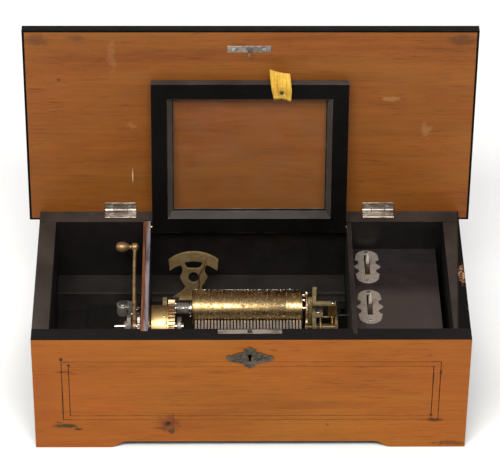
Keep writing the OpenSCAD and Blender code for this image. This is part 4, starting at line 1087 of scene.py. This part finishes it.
def make_cylinder():
    """Pinned drum with turned ends, the coil spring on its arbor and the drive pins."""
    drum = Shape()
    a, b, r = -54.7, 49.6, 17.3
    profile = [
        (a, 4), (a, 16.4), (a + 0.3, 17.1), (a + 0.8, r), (a + 1.6, r), (a + 1.8, 17.15), (a + 2, r),
        (b - 16.2, r), (b - 16.0, 17.2), (b - 15.8, r), (b - 2.2, r), (b - 2.0, 17.1), (b - 1.8, r),
        (b - 0.6, r), (b, 16.6), (b, 12), (b - 1.2, 11.6), (b - 1.2, 4),
    ]
    drum.lathe(profile, (0, *AXLE), steps=128)
    drum.piece("cylinder_turned", "tune_cylinder", CYLINDER_BRASS, smooth=28)
    pins, dice = Shape(), random.Random(11)
    for tooth in TOOTH_X:
        for _ in range(64):
            angle = dice.uniform(0, tau)
            x = tooth + dice.choice(range(8)) * 0.3 - 1.05
            c, s = cos(angle), sin(angle)
            foot, top = ((x, AXLE[0] + reach * c, AXLE[1] + reach * s) for reach in (17.2, 18.0))
            pins.tube([foot, top], [0.26, 0.22], 5)
    pins.piece("cylinder_pins_set", "cylinder_pins", PIN_STEEL)
    spring = Shape()
    x0, x1, turns = -69.4, -57.3, 9
    path = []
    for i in range(turns * 18 + 1):
        angle = i * tau / 18
        x = x0 + (x1 - x0) * i / (turns * 18)
        path.append((x, AXLE[0] + 5.0 * cos(angle), AXLE[1] + 5.0 * sin(angle)))
    spring.tube(path, 0.55, 8)
    spring.piece("cylinder_spring_wound", "cylinder_spring", SPRING_STEEL, smooth=60)
    drive = Shape()
    for y, z in ((6, 11), (-4.5, 13.5)):
        drive.lathe([(49.5, 1.3), (51.7, 1.3), (52.1, 0.8)], (0, AXLE[0] + y, AXLE[1] + z), steps=18)
    drive.piece("drive_pins_trim", "cylinder_wheel", BRIGHT, body="cylinder_shaft")


def make_indicator():
    """Tune plate with its crescent, window and hole, and the wire hand over it."""
    left = [
        (-22.6, 7.9), (-20, 10.4), (-17, 12.6), (-14.6, 14.0), (-12.2, 15.0), (-11.1, 12.6), (-10.4, 9.4),
        (-10.8, 5.6), (-12.8, 1.4), (-12.7, -0.6), (-10.4, -6.4), (-8.2, -10.4), (-8.0, -12.8), (-11, -17),
        (-20, -24.9),
    ]
    right = [
        (15, -24.9), (9, -17), (7.4, -12.8), (8.2, -10.4), (10.4, -6.4), (13.0, -0.6), (13.1, 1.4),
        (11.0, 5.6), (10.6, 9.4), (11.2, 12.6), (12.2, 15.0), (14.6, 14.0), (17, 12.6), (20, 10.4),
        (22.6, 7.9),
    ]
    outline = arc(33.3, 45, 135, 24, y=-2.1) + left + right
    sill = [(-7.4, 13.8), (-5.4, 11.3), (-2.4, 10.9), (2.6, 10.9), (5.4, 11.3), (7.4, 13.8)]
    window = arc(21.8, 66, 114, 10, y=-2.1) + sill
    plate = Shape(Matrix.Translation((-53.4, 145.6, 87)) @ FACING)
    plate.pierced(outline, [[(u, v * 1.25) for u, v in circle(5.1)], window], 0.05, 1.75, 0.3)
    plate.piece("tune_plate", "tune_indicator", DULL_BRASS, smooth=30)
    foot = Shape()
    foot.box((-67.4, 139.9, 62), (-41.4, 144.2, 63.5), 0.3)
    for x, turn in ((-60, 0.3), (-47, 1.2)):
        foot.screw((x, 142, 63.4), 1.9, 0.8, turn)
    foot.lathe([(142.0, 0.85), (144.2, 0.85)], (-50, 0, 70), "Y", 16)
    foot.piece("tune_plate_foot_trim", "tune_indicator", DULL_BRASS)
    hand = Shape(Matrix.Translation((-50, 143.1, 70)))
    hand.lathe([(-1.0, 1.6), (-0.8, 2.0), (-0.1, 2.0), (0.1, 1.7)], axis="Y", steps=24)
    wire = [
        (0.2, -0.2, 1), (2.2, -0.3, 10), (1.4, -0.4, 17), (2.6, -0.5, 23), (6.8, -0.5, 31),
        (9.2, -0.4, 43.4),
    ]
    hand.tube(wire, [0.5, 0.42, 0.4, 0.4, 0.36, 0.22], 10)
    hand.piece("tune_hand", "tune_pointer", BRASS)


def make_comb():
    """Comb plate with tapered teeth."""
    comb = Shape()
    shoulder = COMB_TOP - 0.15
    sections = (61, 1.05, 76.1), (68, 1.05, 76.2), (84, 1.0, 76.35), (90.4, 0.95, 76.5), (91.6, 0.6, 76.9)
    for x in TOOTH_X:
        rows = []
        for y, half, low in sections:
            left, right = x - half, x + half
            section = [
                (left, low), (right, low), (right, shoulder), (right - 0.15, COMB_TOP),
                (left + 0.15, COMB_TOP), (left, shoulder),
            ]
            rows.append([(u, y, z) for u, z in section])
        comb.loft(rows)
    comb.box((-56, 50, 74), (52, 62, COMB_TOP), 0.4)
    comb.piece("comb_ground", "comb", COMB_STEEL)


def make_governor():
    """The endless screw and its fly, jewels, the movement's screw heads, and the castings and bedplate."""
    low, high = case_box("endless_screw")
    x, y = (low.x + high.x) / 2, (low.y + high.y) / 2
    fly = Shape()
    profile = [
        (52.4, 0.25), (53, 0.6), (58.8, 0.6), (59, 1.1), (71.0, 1.1), (71.2, 1.5), (71.8, 1.5), (72.0, 0.9),
        (85.8, 0.9), (86.0, 0.55), (87.8, 0.5), (88, 0.2),
    ]
    fly.lathe(profile, (x, y, 0), "Z")
    worm = []
    for t in range(97):
        angle = t * tau / 16
        worm.append((x + 1.15 * cos(angle), y + 1.15 * sin(angle), 60 + 10 * t / 96))
    fly.tube(worm, 0.24, 6)
    heights, thick = (71.8, 78, 85.0), 0.34
    for k in (-1, 1):
        rows = []
        for u in (0.7, 1.8, 3.0, 4.25):
            bent = y + k * 0.35 * sin(u * 0.7)
            front = [(x + k * u, bent - thick / 2, z) for z in heights]
            rear = [(x + k * u, bent + thick / 2, z) for z in heights[::-1]]
            rows.append(front + rear)
        fly.loft(rows)
    fly.piece("endless_screw_fly", "endless_screw", BRASS)
    trim = Shape()
    trim.screw((64.85, 106, 76.2), 3.7, 1.9, 0.6)
    for place in ((-108, 141, 51), (-144, 48, 51), (82, 133, 51), (80, 48, 51)):
        trim.screw(place, 3.1, 1.5, place[0] % 3)
    trim.screw((-121.2, 135, 62), 4.3, 1.6, 0.9)
    for comb_x in (-42, -22, -2, 18, 38):
        trim.screw((comb_x, 56, 77.6), 3.0, 1.6, comb_x % 3)
    trim.piece("movement_screw_heads", "movement_screws", STEEL)
    jewel = Shape()
    jewel.lathe([(88.9, 2.2), (89.5, 2.1), (90.0, 1.5), (90.2, 0.3)], (x, y, 0), "Z", 24)
    jewel.lathe([(82.9, 2.0), (83.4, 1.9), (83.8, 1.2), (83.9, 0.2)], (0, 110.6, 65.6))
    jewel.lathe([(82.9, 2.4), (83.6, 2.2), (84.1, 1.4), (84.2, 0.2)], (0, 98.65, 63.5))
    jewel.piece("governor_caps_trim", "governor_cock", BRIGHT)
    for node, width in (("governor_cock", 0.15), ("cylinder_cocks", 0.2), ("comb_base", 0.5)):
        softened(node, width, COCK_BRASS, smooth=35)
    softened("right_barrel_bracket", 0.3, DARK_NICKEL, smooth=35)
    softened("bedplate", 0.6, IRON)


MAKERS = (
    make_boards, make_ribbon, make_escutcheon, make_hinges, make_lock, make_controls,
    make_winding, make_barrel, make_cylinder, make_indicator, make_comb, make_governor,
)

set_camera()
set_light()
lay_floor()
dress_nodes()
for make in MAKERS:
    make()

bpy.context.view_layer.update()
